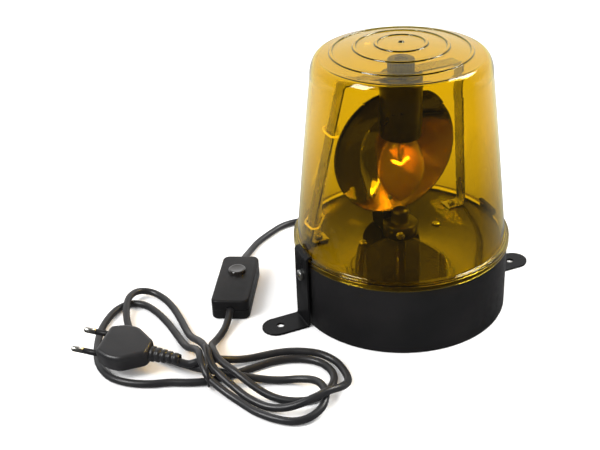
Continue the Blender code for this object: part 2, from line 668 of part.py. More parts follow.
def dish():
    """The chromed bowl, cut flat at the top and notched round the lamp holder."""
    outside = bowl(DISH_RADIUS + DISH_WALL, DISH_DEPTH + DISH_WALL, 8)
    inside = bowl(DISH_RADIUS, DISH_DEPTH, 8)
    piece = turned("reflector_dish", outside + inside[::-1], chrome, steps=32,
                   place=reflector_axis)
    on_rim_plane(piece)
    reach = 2 * DISH_RADIUS
    flat = block("dish_flat", (-reach, -reach, DISH_CENTRE_Z + DISH_TOP_CUT),
                 (reach, reach, DISH_CENTRE_Z + reach), place=reflector_axis, cutter=True)
    notch = rod("dish_notch", HOLDER_RADIUS + 2.2 * MM, (0, 0, DISH_CENTRE_Z),
                (0, 0, DISH_CENTRE_Z + reach), place=reflector_axis, sides=24, cutter=True)
    hole = rod("dish_drill", M3_HOLE, (0, 0, ARM_SCREW_Z), (0, 2 * ARM_BACK_Y, ARM_SCREW_Z),
               place=reflector_axis, cutter=True)
    combine(piece, "DIFFERENCE", flat, notch, hole)


def arm():
    """The block that carries the bowl from behind, round the back of the hub."""
    foot = HUB_FOOT + GAP
    half = ARM_WIDTH / 2
    piece = block("reflector_arm", (-half, DISH_RIM_Y, foot), (half, ARM_BACK_Y, ARM_TOP_Z),
                  bakelite, place=reflector_axis)
    hub_room = rod("arm_hub_room", HUB_RADIUS + GAP, (0, 0, 0), (0, 0, HUB_SHOULDER + GAP),
                   sides=32, place=reflector_axis, cutter=True)
    dish_room = turned("arm_dish_room", bowl(DISH_RADIUS + DISH_WALL + GAP,
                                             DISH_DEPTH + DISH_WALL + GAP, 8) + [(0, 0)],
                       steps=32, place=reflector_axis, cutter=True)
    on_rim_plane(dish_room)
    hole = rod("arm_drill", M3_HOLE, (0, 0, ARM_SCREW_Z), (0, 2 * ARM_BACK_Y, ARM_SCREW_Z),
               place=reflector_axis, cutter=True)
    combine(piece, "DIFFERENCE", hub_room, dish_room, hole)
    soften(piece, 0.8 * MM, angle=60.0)
    screw("arm_screw", SCREW_M3, (0, ARM_BACK_Y, ARM_SCREW_Z), (0, -1, 0), 12 * MM, zinc_steel,
          reflector_axis)


# ---- lamp ------------------------------------------------------------------------------------
FRAME_HALF = FRAME_THICK / 2
FRAME_FOOT_Z = DECK_TOP + GAP + FRAME_HALF
FRAME_LEAN = FRAME_FOOT_Y / (FRAME_TOP_Z - FRAME_FOOT_Z)
HOLDER_TOP = FRAME_TOP_Z - FRAME_HALF - GAP


def leg_at(z):
    """Middle of the left leg of the lamp frame at a height."""
    share = (z - FRAME_FOOT_Z) / (FRAME_TOP_Z - FRAME_FOOT_Z)
    return Vector((-FRAME_FOOT_X + share * (FRAME_FOOT_X - FRAME_TOP_X),
                   FRAME_LEAN * (FRAME_TOP_Z - z), z))


def lamp_frame():
    """One bent strip: two feet on the deck, two leaning legs and the bridge."""
    inner = FRAME_FOOT_X - FRAME_FOOT_LENGTH
    path = bent_path([(-inner, FRAME_FOOT_Z), (-FRAME_FOOT_X, FRAME_FOOT_Z),
                      (-FRAME_TOP_X, FRAME_TOP_Z), (FRAME_TOP_X, FRAME_TOP_Z),
                      (FRAME_FOOT_X, FRAME_FOOT_Z), (inner, FRAME_FOOT_Z)], 2.0 * MM)
    frame = strip("lamp_frame", path, FRAME_WIDTH, FRAME_THICK, zinc_steel,
                  lean=FRAME_LEAN, lean_from=FRAME_TOP_Z)
    hole = rod("bridge_drill", NIPPLE_RADIUS + GAP, (0, 0, FRAME_TOP_Z - 3 * MM),
               (0, 0, FRAME_TOP_Z + 3 * MM), cutter=True)
    combine(frame, "DIFFERENCE", hole)
    for side, x in (("left", -FOOT_SCREW_X), ("right", FOOT_SCREW_X)):
        drill = rod(f"frame_drill_{side}", M3_HOLE, (x, FRAME_FOOT_Y, DECK_TOP - MM),
                    (x, FRAME_FOOT_Y, FRAME_FOOT_Z + 2 * MM), cutter=True)
        combine(frame, "DIFFERENCE", drill)
        screw(f"frame_screw_{side}", SCREW_M3, (x, FRAME_FOOT_Y, FRAME_FOOT_Z + FRAME_HALF),
              (0, 0, -1), 6 * MM, zinc_steel)


def lamp_holder():
    """Black skirt with a threaded nipple, its nut, core, brass shell and centre contact."""
    bottom = HOLDER_TOP - HOLDER_LENGTH
    bore = HOLDER_RADIUS - HOLDER_WALL
    ceiling = HOLDER_TOP - 4 * MM
    nut_foot = FRAME_TOP_Z + FRAME_HALF + GAP
    nipple_top = nut_foot + NUT_HEIGHT - MM
    holder = turned("lamp_holder", [
        (0, nipple_top), (NIPPLE_RADIUS, nipple_top), (NIPPLE_RADIUS, HOLDER_TOP),
        (HOLDER_RADIUS - MM, HOLDER_TOP), (HOLDER_RADIUS, HOLDER_TOP - MM),
        (HOLDER_RADIUS, bottom), (bore, bottom), (bore, ceiling), (0, ceiling)],
        bakelite, steps=32)
    hole = rod("holder_lead_drill", LAMP_LEAD_RADIUS + 3 * GAP, LAMP_LEAD_END,
               LAMP_LEAD_BEFORE_END, cutter=True)
    combine(holder, "DIFFERENCE", hole)
    nut_bore = NIPPLE_RADIUS + GAP
    turned("holder_nut", [(NUT_RADIUS - MM, nut_foot + NUT_HEIGHT),
                          (NUT_RADIUS, nut_foot + NUT_HEIGHT - MM), (NUT_RADIUS, nut_foot),
                          (nut_bore, nut_foot), (nut_bore, nut_foot + NUT_HEIGHT)],
           bakelite, steps=24)
    shell_inner = THREAD_RADIUS + GAP
    shell_outer = shell_inner + 0.8 * MM
    shell_top = CAP_BOTTOM_Z + CAP_LENGTH - 2 * MM
    shell_foot = CAP_BOTTOM_Z + 2 * MM
    turned("holder_shell", [(shell_outer, shell_top), (shell_outer, shell_foot),
                            (shell_inner, shell_foot), (shell_inner, shell_top)],
           brass, steps=24)
    core_top = shell_top + 3 * MM
    turned("holder_core", [(bore - GAP, core_top), (bore - GAP, shell_foot),
                           (shell_outer + GAP, shell_foot), (shell_outer + GAP, core_top)],
           white_plastic, steps=24)
    rod("holder_contact", 2.5 * MM, (0, 0, CAP_BOTTOM_Z + CAP_LENGTH + GAP),
        (0, 0, ceiling - GAP), brass)


def bulb():
    """Candle lamp: glass open at its neck, screw cap, stem and filament."""
    neck = CAP_BOTTOM_Z - GAP
    tip = neck - BULB_LENGTH
    shape = ((0.42, 0.0), (0.52, 0.1), (0.7, 0.2), (0.9, 0.35), (1.0, 0.51), (0.93, 0.66),
             (0.66, 0.81), (0.36, 0.92), (0.14, 0.98))
    outer = [(BULB_RADIUS * r, neck - BULB_LENGTH * drop) for r, drop in shape]
    inner = [(r - BULB_WALL, z) for r, z in reversed(outer)]
    turned("bulb_glass", outer + [(0, tip), (0, tip + 2.5 * BULB_WALL)] + inner, glass,
           steps=20)
    cap_top = CAP_BOTTOM_Z + CAP_LENGTH
    inside = THREAD_RADIUS - 0.8 * MM
    turned("bulb_cap", [(0, cap_top), (2.4 * MM, cap_top), (THREAD_RADIUS, cap_top - 4 * MM),
                        (THREAD_RADIUS, CAP_BOTTOM_Z), (inside, CAP_BOTTOM_Z),
                        (inside, cap_top - 4.5 * MM), (0, cap_top - 2 * MM)], brass, steps=24)
    stem_foot = neck - 0.45 * BULB_LENGTH
    turned("bulb_stem", [(0, cap_top - 8 * MM), (3.6 * MM, cap_top - 8 * MM),
                         (3.6 * MM, neck), (1.6 * MM, stem_foot), (0, stem_foot)],
           glass, steps=16)
    low = stem_foot - 7.0 * MM
    tube("filament", [(-7 * MM, 0, stem_foot + 3 * MM), (-6 * MM, 0, stem_foot - 3 * MM),
                      (-3 * MM, 0, low), (0, 0, stem_foot - 4 * MM), (3 * MM, 0, low),
                      (6 * MM, 0, stem_foot - 3 * MM), (7 * MM, 0, stem_foot + 3 * MM)],
         0.4 * MM, tungsten, 3 * MM)


# ---- wiring inside ---------------------------------------------------------------------------
BLOCK_TOP = DECK_UNDER - GAP
BLOCK_FOOT = BLOCK_TOP - BLOCK_SIZE[2]
LEAD_LEG_GAP = LAMP_LEAD_RADIUS + FRAME_HALF + 0.5 * MM
LAMP_LEAD_END = (-6.8 * MM, 5.9 * MM, HOLDER_TOP - 8.5 * MM)
LAMP_LEAD_BEFORE_END = (-21.0 * MM, 11.5 * MM, HOLDER_TOP - 7.5 * MM)


def wiring():
    """Terminal block under the deck and the leads that meet in it."""
    x, y, z = (size / 2 for size in BLOCK_SIZE)
    block("terminal_block", (-x, BLOCK_Y - y, BLOCK_FOOT), (x, BLOCK_Y + y, BLOCK_TOP),
          white_plastic, bevel=0.8 * MM)
    low_z = DECK_TOP + 40.2 * MM
    middle_z = FRAME_TOP_Z - 39.5 * MM
    high_z = FRAME_TOP_Z - 14.5 * MM
    side = leg_at(low_z)
    upper = leg_at(middle_z)
    top = leg_at(high_z)
    back = FRAME_WIDTH / 2
    hole_x, hole_y = LAMP_LEAD_HOLE
    route = [
        (-x - 2 * GAP, BLOCK_Y, BLOCK_FOOT + z), (-x - 10 * MM, BLOCK_Y, BLOCK_FOOT + z),
        (hole_x + 8 * MM, hole_y + 9 * MM, BLOCK_FOOT + 2 * MM),
        (hole_x + 2 * MM, hole_y + 2 * MM, BLOCK_FOOT + 5 * MM),
        (hole_x, hole_y, DECK_TOP - MM), (hole_x - 0.2 * MM, hole_y - 0.4 * MM, DECK_TOP + 5 * MM),
        (hole_x - MM, hole_y - 3.2 * MM, DECK_TOP + 15 * MM),
        (side.x + LEAD_LEG_GAP + MM, side.y + 1.4 * back, low_z),
        (upper.x + LEAD_LEG_GAP, upper.y + 1.4 * back, middle_z),
        (top.x + LEAD_LEG_GAP, top.y + 1.6 * back, high_z),
        (top.x + 7 * MM, top.y + 1.8 * back, FRAME_TOP_Z - 4 * MM),
        (top.x + 15 * MM, 12.5 * MM, FRAME_TOP_Z - 5.5 * MM),
        LAMP_LEAD_BEFORE_END, LAMP_LEAD_END]
    tube("lamp_lead", route, LAMP_LEAD_RADIUS, clear_sleeve, 9 * MM)
    fine = smooth_route(route, 2 * MM)
    heights = (("lower", DECK_TOP + 14.2 * MM), ("upper", FRAME_TOP_Z - 34.5 * MM))
    for label, height in heights:
        leg = leg_at(height)
        lead = min(fine, key=lambda point: abs(point.z - height))
        room = LAMP_LEAD_RADIUS + TIE_RADIUS + 3 * GAP
        out = leg.x - FRAME_HALF - TIE_RADIUS - 2 * GAP
        front = leg.y - back - TIE_RADIUS - GAP
        tube(f"lead_tie_{label}", [
            (out, front + MM, height), (out, leg.y + back, height),
            (lead.x - room * 0.75, lead.y + room * 0.75, height),
            (lead.x, lead.y + room, height), (lead.x + room * 0.72, lead.y + room * 0.72, height),
            (lead.x + room, lead.y, height), (lead.x + room * 0.6, lead.y - room * 0.85, height),
            (leg.x + FRAME_HALF + 2 * MM, front, height),
            (leg.x, front - 0.3 * MM, height)],
            TIE_RADIUS, black_plastic, 2.5 * MM, closed=True)
    motor_z = DECK_UNDER - 2 * GAP - GEARBOX_HEIGHT - MOTOR_HEIGHT / 2
    tube("motor_lead", [(6 * MM, MOTOR_RADIUS + 2 * MM, motor_z - 3 * MM),
                        (6 * MM, MOTOR_RADIUS + 7 * MM, motor_z - 5 * MM),
                        (6 * MM, BLOCK_Y - 5 * MM, motor_z - 5 * MM),
                        (6 * MM, BLOCK_Y - MM, motor_z - 2 * MM),
                        (6 * MM, BLOCK_Y, BLOCK_FOOT - GAP)],
         MOTOR_LEAD_RADIUS, white_plastic, 5 * MM)
    inner = BASE_RADIUS - BASE_WALL
    tube("inner_lead", [(0, inner + MM, GLAND_Z), (0, inner - 4 * MM, GLAND_Z),
                        (0, inner - 10 * MM, GLAND_Z + MM), (0, BLOCK_Y + 6 * MM, GLAND_Z + 7 * MM),
                        (0, BLOCK_Y + MM, GLAND_Z + 15 * MM), (0, BLOCK_Y, BLOCK_FOOT - GAP)],
         CORD_RADIUS, rubber, 8 * MM, resolution=3)


# ---- cord ------------------------------------------------------------------------------------
def ribbed(root, tip, length, ribs, start):
    """Side of a tapered, ribbed sleeve round the cord from a local height up, and its bore."""
    bore = CORD_RADIUS + GAP
    side = []
    for k in range(ribs):
        low = start + length * k / ribs
        high = start + length * (k + 0.6) / ribs
        radius = root + (tip - root) * k / (ribs - 1)
        neck = max(radius - 0.7 * MM, bore + 0.6 * MM)
        side += [(radius, low), (radius, high), (neck, high),
                 (neck, start + length * (k + 1) / ribs)]
    return side, bore


def gland():
    """Moulded cord entry: clamped in the wall, with a ribbed tapering tail."""
    outside = BASE_RADIUS + GAP
    inside = BASE_RADIUS - BASE_WALL - 3 * GAP
    side, bore = ribbed(5.4 * MM, 3.7 * MM, GLAND_LENGTH - 2 * MM, RELIEF_RIBS,
                        outside + 2 * MM)
    collar = 6.2 * MM
    profile = [(bore, outside + GLAND_LENGTH)] + list(reversed(side))
    profile += [(GLAND_COLLAR, outside + 2 * MM), (GLAND_COLLAR, outside),
                (GLAND_NECK, outside), (GLAND_NECK, inside), (collar, inside),
                (collar, inside - 2.5 * MM), (bore, inside - 2.5 * MM)]
    piece = turned("cord_gland", profile, rubber, steps=16)
    piece.location = (0, 0, GLAND_Z)
    piece.rotation_euler = (-math.pi / 2, 0, 0)


FLOOR_CORD = CORD_RADIUS + 0.1 * MM
CORD_TO_SWITCH = [(0, 73.4, 12), (0, 88, 12), (0, 101, 11.9), (-0.5, 109, 8.8), (-4.5, 118, 4.2), (-14, 127, 2.8),
                  (-28, 130, 2.6), (-39, 128.5, 2.6), (-52, 122, 2.6), (-66, 113, 2.6),
                  (-78, 101, 3.2), (-86.2, 89.5, 6.2), (-91.2, 80.9, 7.5), (-94.0, 75.8, 7.5)]
CORD_TO_HANK = [(-120.0, 28.6, 7.5), (-122.4, 24.2, 7.5), (-125.5, 18.6, 7.1),
                (-131.5, 10.5, 4.8), (-139.8, 1.5, 3), (-146.9, -9, 3.4), (-151.6, -20.2, 5)]
CORD_AT_TIE = (-167.0, -27.8, 9.4)
LEFT_LOBE = [(-188, -33), (-211, -20.5), (-222, -8), (-223.5, 6), (-220, 24), (-214.5, 40),
             (-207, 57), (-197.5, 72), (-187, 81), (-175, 87.5), (-166, 88), (-158.5, 79),
             (-154.5, 62), (-153, 31), (-154.5, 5), (-158, -9)]
RIGHT_LOBE = [(-134, -24.6), (-118, -26), (-99, -33), (-81.5, -43), (-73, -60), (-77.5, -81),
              (-89, -93), (-104, -101), (-117, -107.5), (-129, -105.5), (-142, -91),
              (-152, -73), (-158, -59)]


def tie_point(across, along):
    """A floor position from distances in the tie's own directions."""
    turn = Matrix.Rotation(TIE_TURN, 2)
    spot = Vector(TIE_CENTRE) + turn @ Vector((along, across))
    return (spot.x, spot.y)


def cords():
    """The supply cord from gland to switch to tied hank, and out to the plug."""
    behind = [Vector(PLUG_FRONT) + plug_turn.to_3x3() @ Vector((-PLUG_LENGTH - step, 0, 0))
              for step in (3 * MM, 0.6 * RELIEF_LENGTH, RELIEF_LENGTH + MM)]
    routes = (("cord_to_switch", [Vector(point) * MM for point in CORD_TO_SWITCH]),
              ("cord_to_hank", [Vector(point) * MM for point in CORD_TO_HANK]),
              ("cord_to_plug", behind + [Vector(CORD_AT_TIE) * MM]))
    for name, points in routes:
        tube(name, points, CORD_RADIUS, rubber, 4 * CORD_RADIUS, resolution=4)
    half = WAIST_WIDTH / 2
    reach = WAIST_LENGTH / 2
    lobes = (("hank_left", LEFT_LOBE, HANK_LEFT_TOP, reach + GAP, reach + GAP),
             ("hank_right", RIGHT_LOBE, HANK_RIGHT_TOP, reach, -reach))
    for name, lobe, top, back, front in lobes:
        side = [Vector((x * MM, y * MM, 0)) for x, y in lobe]
        if name == "hank_left":
            ends = [tie_point(-half, -back), tie_point(half, -back)]
            points = [Vector((*ends[0], 0))] + side + [Vector((*ends[1], 0))]
            extra = []
        else:
            points = [Vector((*tie_point(half, reach), 0))] + side
            points.append(Vector((*tie_point(-half, reach), 0)))
            extra = [tie_point(-half, front), tie_point(half, front)]
        route = [(p.x, p.y) for p in smooth_route(points, 9 * MM)]
        hank = plate(name, route + extra, 0, top, rubber)
        if name == "hank_right":
            groove = block("tie_groove", (-TIE_RADIUS - GAP, -WAIST_WIDTH, -MM),
                           (TIE_RADIUS + GAP, WAIST_WIDTH, 2 * TIE_RADIUS + 3 * GAP),
                           place=tie_place, cutter=True)
            combine(hank, "DIFFERENCE", groove)
        soften(hank, 1.6 * MM, segments=2, angle=50.0)
    wide = half + GAP + TIE_RADIUS
    low = TIE_RADIUS + GAP
    high = HANK_RIGHT_TOP + GAP + TIE_RADIUS
    bend = 2.0 * MM
    ring = []
    for x, z, start in ((wide - bend, low + bend, -90), (wide - bend, high - bend, 0),
                        (-wide + bend, high - bend, 90), (-wide + bend, low + bend, 180)):
        for y, height in arc((x, z), bend, start, start + 90, 2):
            ring.append((0, y, height))
    tube("cord_tie", ring, TIE_RADIUS, black_plastic, 4 * MM, closed=True, place=tie_place)


# ---- in-line switch --------------------------------------------------------------------------
def rounded_plan(length, width, corner, steps=4):
    """A rounded rectangle centred on the place's origin."""
    x, y = length / 2 - corner, width / 2 - corner
    plan = []
    for cx, cy, start in ((x, y, 0), (-x, y, 90), (-x, -y, 180), (x, -y, 270)):
        plan += arc((cx, cy), corner, start, start + 90, steps)
    return plan


def switch():
    """In-line cord switch: two shells, press button, spring, contact and two screws."""
    plan = rounded_plan(SWITCH_LENGTH, SWITCH_WIDTH, 5 * MM)
    low = plate("switch_lower_shell", plan, 0, SWITCH_SPLIT_Z - GAP / 2, black_plastic,
                place=switch_place)
    top = plate("switch_upper_shell", plan, SWITCH_SPLIT_Z + GAP / 2, SWITCH_HEIGHT,
                black_plastic, place=switch_place)
    for shell in (low, top):
        soften(shell, 1.2 * MM, angle=60.0)
    half_length = SWITCH_LENGTH / 2 - SWITCH_WALL
    half_width = SWITCH_WIDTH / 2 - SWITCH_WALL
    inside = SWITCH_SCREW[0] - 5 * MM
    floor, ceiling = SWITCH_WALL, SWITCH_HEIGHT - SWITCH_WALL
    channel = SWITCH_CHANNEL / 2
    wide = block("switch_room", (-inside, -half_width, floor), (inside, half_width, ceiling),
                 place=switch_place, cutter=True)
    narrow = block("switch_channel", (-half_length, -channel, floor),
                   (half_length, channel, ceiling), place=switch_place, cutter=True)
    way = rod("switch_cord_way", CORD_RADIUS + GAP, (-SWITCH_LENGTH, 0, SWITCH_SPLIT_Z),
              (SWITCH_LENGTH, 0, SWITCH_SPLIT_Z), place=switch_place, sides=20, cutter=True)
    for shell in (low, top):
        combine(shell, "DIFFERENCE", wide, narrow, way)
    guide = rod("button_way", BUTTON_RADIUS + GAP, (BUTTON_X, 0, SWITCH_HEIGHT - 4 * MM),
                (BUTTON_X, 0, SWITCH_HEIGHT + MM), place=switch_place, sides=32, cutter=True)
    combine(top, "DIFFERENCE", guide)
    shaft, head, height = SCREW_SMALL
    x, y = SWITCH_SCREW
    drill = rod("switch_drill", shaft + GAP, (x, y, -MM), (x, y, ceiling - MM),
                place=switch_place, cutter=True)
    sink = rod("switch_sink", head + GAP, (x, y, -MM), (x, y, height + 2 * GAP),
               place=switch_place, cutter=True)
    combine(low, "DIFFERENCE", drill, sink)
    combine(top, "DIFFERENCE", drill)
    screw("switch_screw", SCREW_SMALL, (x, y, height + 2 * GAP), (0, 0, 1), 9 * MM,
          zinc_steel, switch_place)
    flange_top = ceiling - GAP
    flange = flange_top - 1.5 * MM
    cap = SWITCH_HEIGHT + BUTTON_PROUD
    button = turned("switch_button", [
        (0, cap), (BUTTON_RADIUS - 1.2 * MM, cap), (BUTTON_RADIUS, cap - 0.9 * MM),
        (BUTTON_RADIUS, flange_top), (BUTTON_RADIUS + 1.4 * MM, flange_top),
        (BUTTON_RADIUS + 1.4 * MM, flange), (0, flange)], black_plastic, steps=28,
        place=switch_place)
    button.location = (BUTTON_X, 0, 0)
    plate_top = floor + GAP + 1.6 * MM
    block("switch_contact", (BUTTON_X - 9 * MM, -4 * MM, floor + GAP),
          (BUTTON_X + 9 * MM, 4 * MM, plate_top), brass, bevel=0.3 * MM, place=switch_place)
    wire = 0.4 * MM
    start = plate_top + GAP + wire
    rise = flange - BUTTON_TRAVEL - GAP - wire - start
    coil = []
    for k in range(25):
        turn = math.tau * k / 8
        coil.append((BUTTON_X + 3 * MM * math.cos(turn), 3 * MM * math.sin(turn),
                     start + rise * k / 24))
    tube("switch_spring", coil, wire, zinc_steel, 2.2 * MM, place=switch_place)


# ---- plug ------------------------------------------------------------------------------------
def plug():
    """Flat two-pin plug: body, two sleeved pins and a ribbed cord relief behind."""
    front, mid, rear = PLUG_FRONT_WIDTH / 2, PLUG_WIDTH / 2, PLUG_REAR_WIDTH / 2
    outline = [(0, -front), (0, front), (-0.3 * PLUG_LENGTH, mid), (-0.56 * PLUG_LENGTH, mid),
               (-PLUG_LENGTH, rear), (-PLUG_LENGTH, -rear), (-0.56 * PLUG_LENGTH, -mid),
               (-0.3 * PLUG_LENGTH, -mid)]
    body = plate("plug_body", outline, -PLUG_THICK / 2, PLUG_THICK / 2, rubber,
                 place=plug_place)
    soften(body, 1.8 * MM, segments=3, angle=30.0)
    hold = 9 * MM
    for k, y in enumerate((-PIN_SPACING / 2, PIN_SPACING / 2)):
        hole = rod(f"pin_drill_{k}", PIN_RADIUS + GAP, (-hold - GAP, y, 0), (MM, y, 0),
                   place=plug_place, cutter=True)
        combine(body, "DIFFERENCE", hole)
        core = PIN_RADIUS - 0.7 * MM
        pin = turned(f"plug_pin_{k + 1}", [
            (0, PIN_LENGTH), (PIN_RADIUS - 0.8 * MM, PIN_LENGTH - 0.3 * MM),
            (PIN_RADIUS, PIN_LENGTH - 1.8 * MM), (PIN_RADIUS, PIN_SLEEVE_LENGTH + GAP),
            (core, PIN_SLEEVE_LENGTH + GAP), (core, -hold), (0, -hold)], zinc_steel,
            steps=12, place=plug_place)
        root = core + GAP
        sleeve = turned(f"pin_sleeve_{k + 1}", [
            (PIN_RADIUS, PIN_SLEEVE_LENGTH), (PIN_RADIUS, -hold + MM), (root, -hold + MM),
            (root, PIN_SLEEVE_LENGTH)], black_plastic, steps=12, place=plug_place)
        for piece in (pin, sleeve):
            piece.location = (0, y, 0)
            piece.rotation_euler = (0, math.pi / 2, 0)
    side, bore = ribbed(5.2 * MM, 3.7 * MM, RELIEF_LENGTH, RELIEF_RIBS,
                        PLUG_LENGTH + GAP)
    relief = turned("plug_relief", [(bore, PLUG_LENGTH + GAP + RELIEF_LENGTH)]
                    + list(reversed(side)) + [(bore, PLUG_LENGTH + GAP)], rubber, steps=16,
                    place=plug_place)
    relief.rotation_euler = (0, -math.pi / 2, 0)


base_shell()
bottom_cover()
dome()
bracket("left", math.pi)
bracket("right", 0.0)
drive()
hub()
dish()
arm()
lamp_frame()
lamp_holder()
bulb()
wiring()
gland()
cords()
switch()
plug()
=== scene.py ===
import math

import bmesh
import bpy
from mathutils import Matrix, Vector


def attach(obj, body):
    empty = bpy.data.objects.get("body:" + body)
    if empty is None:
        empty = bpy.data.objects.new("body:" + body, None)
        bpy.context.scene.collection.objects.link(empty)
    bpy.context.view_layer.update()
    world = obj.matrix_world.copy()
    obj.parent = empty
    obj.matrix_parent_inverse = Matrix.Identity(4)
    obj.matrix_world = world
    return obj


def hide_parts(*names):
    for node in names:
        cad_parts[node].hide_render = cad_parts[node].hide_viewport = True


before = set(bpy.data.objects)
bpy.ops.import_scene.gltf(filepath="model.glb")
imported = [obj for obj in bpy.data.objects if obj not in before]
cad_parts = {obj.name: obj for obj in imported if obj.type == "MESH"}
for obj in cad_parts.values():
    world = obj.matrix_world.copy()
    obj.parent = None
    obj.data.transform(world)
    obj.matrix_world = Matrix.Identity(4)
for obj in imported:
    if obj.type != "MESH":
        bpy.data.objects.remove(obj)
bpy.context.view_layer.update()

MM = 0.001
scene = bpy.context.scene
scene.view_settings.view_transform = "Standard"

# ---- camera ----------------------------------------------------------------------------------
CAMERA_AT = Vector((-308.5, -567.3, 415.6)) * MM
CAMERA_LOOK = Vector((0.332, 0.8095, -0.4842)).normalized()
CAMERA_ROLL = -0.048
CAMERA_LENS = 62.99                 # millimetres on a 36 mm sensor

camera_data = bpy.data.cameras.new("camera")
camera_data.lens = CAMERA_LENS
camera_data.sensor_width = 36.0
camera_data.clip_start = 0.01
camera = bpy.data.objects.new("camera", camera_data)
scene.collection.objects.link(camera)
level = CAMERA_LOOK.cross(Vector((0, 0, 1))).normalized()
upward = level.cross(CAMERA_LOOK)
right = level * math.cos(CAMERA_ROLL) + upward * math.sin(CAMERA_ROLL)
top = upward * math.cos(CAMERA_ROLL) - level * math.sin(CAMERA_ROLL)
camera.matrix_world = Matrix.Translation(CAMERA_AT) @ Matrix(
    (right, top, -CAMERA_LOOK)).transposed().to_4x4()
scene.camera = camera


# ---- materials -------------------------------------------------------------------------------
def linear(colour):
    """Linear RGBA of an sRGB hex colour."""
    channels = [int(colour[i:i + 2], 16) / 255.0 for i in (0, 2, 4)]
    return [c / 12.92 if c <= 0.04045 else ((c + 0.055) / 1.055) ** 2.4 for c in channels] + [1.0]


def add_node(finish, kind, inputs=None, **settings):
    """A node in a material or the world, with its settings, values and links."""
    made = finish.node_tree.nodes.new(kind)
    for key, value in settings.items():
        setattr(made, key, value)
    for key, value in (inputs or {}).items():
        if isinstance(value, bpy.types.NodeSocket):
            finish.node_tree.links.new(value, made.inputs[key])
        else:
            made.inputs[key].default_value = value
    return made


def finish_of(name, colour, roughness, **sockets):
    """A Principled material with constants on its own sockets."""
    made = bpy.data.materials.new(name)
    made.use_nodes = True
    shader = made.node_tree.nodes["Principled BSDF"]
    shader.inputs["Base Color"].default_value = linear(colour)
    shader.inputs["Roughness"].default_value = roughness
    for key, value in sockets.items():
        shader.inputs[key.replace("_", " ")].default_value = value
    return made, shader


def link(finish, source, shader, socket):
    finish.node_tree.links.new(source, shader.inputs[socket])


def surface_grain(finish, shader, size, height, rough=None, stretch=(1, 1, 1), detail=3.0):
    """Fine unevenness of a surface: bumps a real size across, and uneven gloss."""
    place = add_node(finish, "ShaderNodeTexCoord")
    scaled = add_node(finish, "ShaderNodeMapping", {"Vector": place.outputs["Object"],
                                                    "Scale": stretch})
    grain = add_node(finish, "ShaderNodeTexNoise", {"Vector": scaled.outputs["Vector"],
                                                    "Scale": 1.0 / size, "Detail": detail})
    bump = add_node(finish, "ShaderNodeBump", {"Height": grain.outputs["Fac"],
                                               "Distance": height, "Strength": 1.0})
    link(finish, bump.outputs["Normal"], shader, "Normal")
    if rough:
        broad = add_node(finish, "ShaderNodeTexNoise", {"Vector": scaled.outputs["Vector"],
                                                        "Scale": 0.12 / size, "Detail": 2.0})
        uneven = add_node(finish, "ShaderNodeMapRange", {
            "Value": broad.outputs["Fac"], "From Min": 0.3, "From Max": 0.7,
            "To Min": rough[0], "To Max": rough[1]})
        link(finish, uneven.outputs["Result"], shader, "Roughness")
    return grain


def uneven_colour(finish, shader, size, first, second, low=0.35, high=0.65):
    """Two close colours that drift into each other over a real size."""
    place = add_node(finish, "ShaderNodeTexCoord")
    drift = add_node(finish, "ShaderNodeTexNoise", {"Vector": place.outputs["Object"],
                                                    "Scale": 1.0 / size, "Detail": 4.0})
    ramp = add_node(finish, "ShaderNodeValToRGB", {"Fac": drift.outputs["Fac"]})
    ramp.color_ramp.elements[0].position = low
    ramp.color_ramp.elements[0].color = linear(first)
    ramp.color_ramp.elements[1].position = high
    ramp.color_ramp.elements[1].color = linear(second)
    link(finish, ramp.outputs["Color"], shader, "Base Color")


def amber_acrylic():
    """Injection-moulded clear amber acrylic: a polished skin, deep yellow through two walls."""
    made, shader = finish_of("amber_acrylic", "f6d83c", 0.03, IOR=1.49,
                             Transmission_Weight=1.0)
    surface_grain(made, shader, 14 * MM, 0.02 * MM, (0.015, 0.05))
    daylight = add_node(made, "ShaderNodeBsdfTransparent", {"Color": linear("fbeb78")})
    ray = add_node(made, "ShaderNodeLightPath")
    passing = add_node(made, "ShaderNodeMath", {0: ray.outputs["Is Shadow Ray"],
                                                1: ray.outputs["Is Diffuse Ray"]},
                       operation="MAXIMUM")
    both = add_node(made, "ShaderNodeMixShader", {
        "Fac": passing.outputs["Value"], 1: shader.outputs["BSDF"],
        2: daylight.outputs["BSDF"]})
    output = made.node_tree.nodes["Material Output"]
    made.node_tree.links.new(both.outputs["Shader"], output.inputs["Surface"])
    return made


def black_abs():
    """Moulded ABS: satin black with a fine spark-eroded grain, about 0.4 mm."""
    made, shader = finish_of("black_abs", "151516", 0.36, Specular_IOR_Level=0.2)
    surface_grain(made, shader, 0.5 * MM, 0.015 * MM, (0.3, 0.42))
    uneven_colour(made, shader, 40 * MM, "141415", "1a191a")
    return made


def polished_abs():
    """The deck's polished ABS: near black and glossy, with faint moulding ripple."""
    made, shader = finish_of("polished_abs", "1d1a18", 0.08, Coat_Weight=1.0,
                             Coat_Roughness=0.03)
    surface_grain(made, shader, 18 * MM, 0.03 * MM, (0.07, 0.14))
    return made


def black_enamel():
    """Stoved black enamel on pressed steel: a soft shine over slight orange peel."""
    made, shader = finish_of("black_enamel", "0f0f10", 0.32, Specular_IOR_Level=0.15)
    surface_grain(made, shader, 1.6 * MM, 0.03 * MM, (0.24, 0.36))
    return made


def zinc_plate():
    """Bright zinc-plated steel: grey with a faint blue and fine drawn lines."""
    made, shader = finish_of("zinc_plate", "b9b8b2", 0.28, Metallic=1.0)
    surface_grain(made, shader, 0.8 * MM, 0.01 * MM, (0.2, 0.36), stretch=(1, 1, 0.15))
    uneven_colour(made, shader, 9 * MM, "aeb0b0", "c6c3b9")
    return made


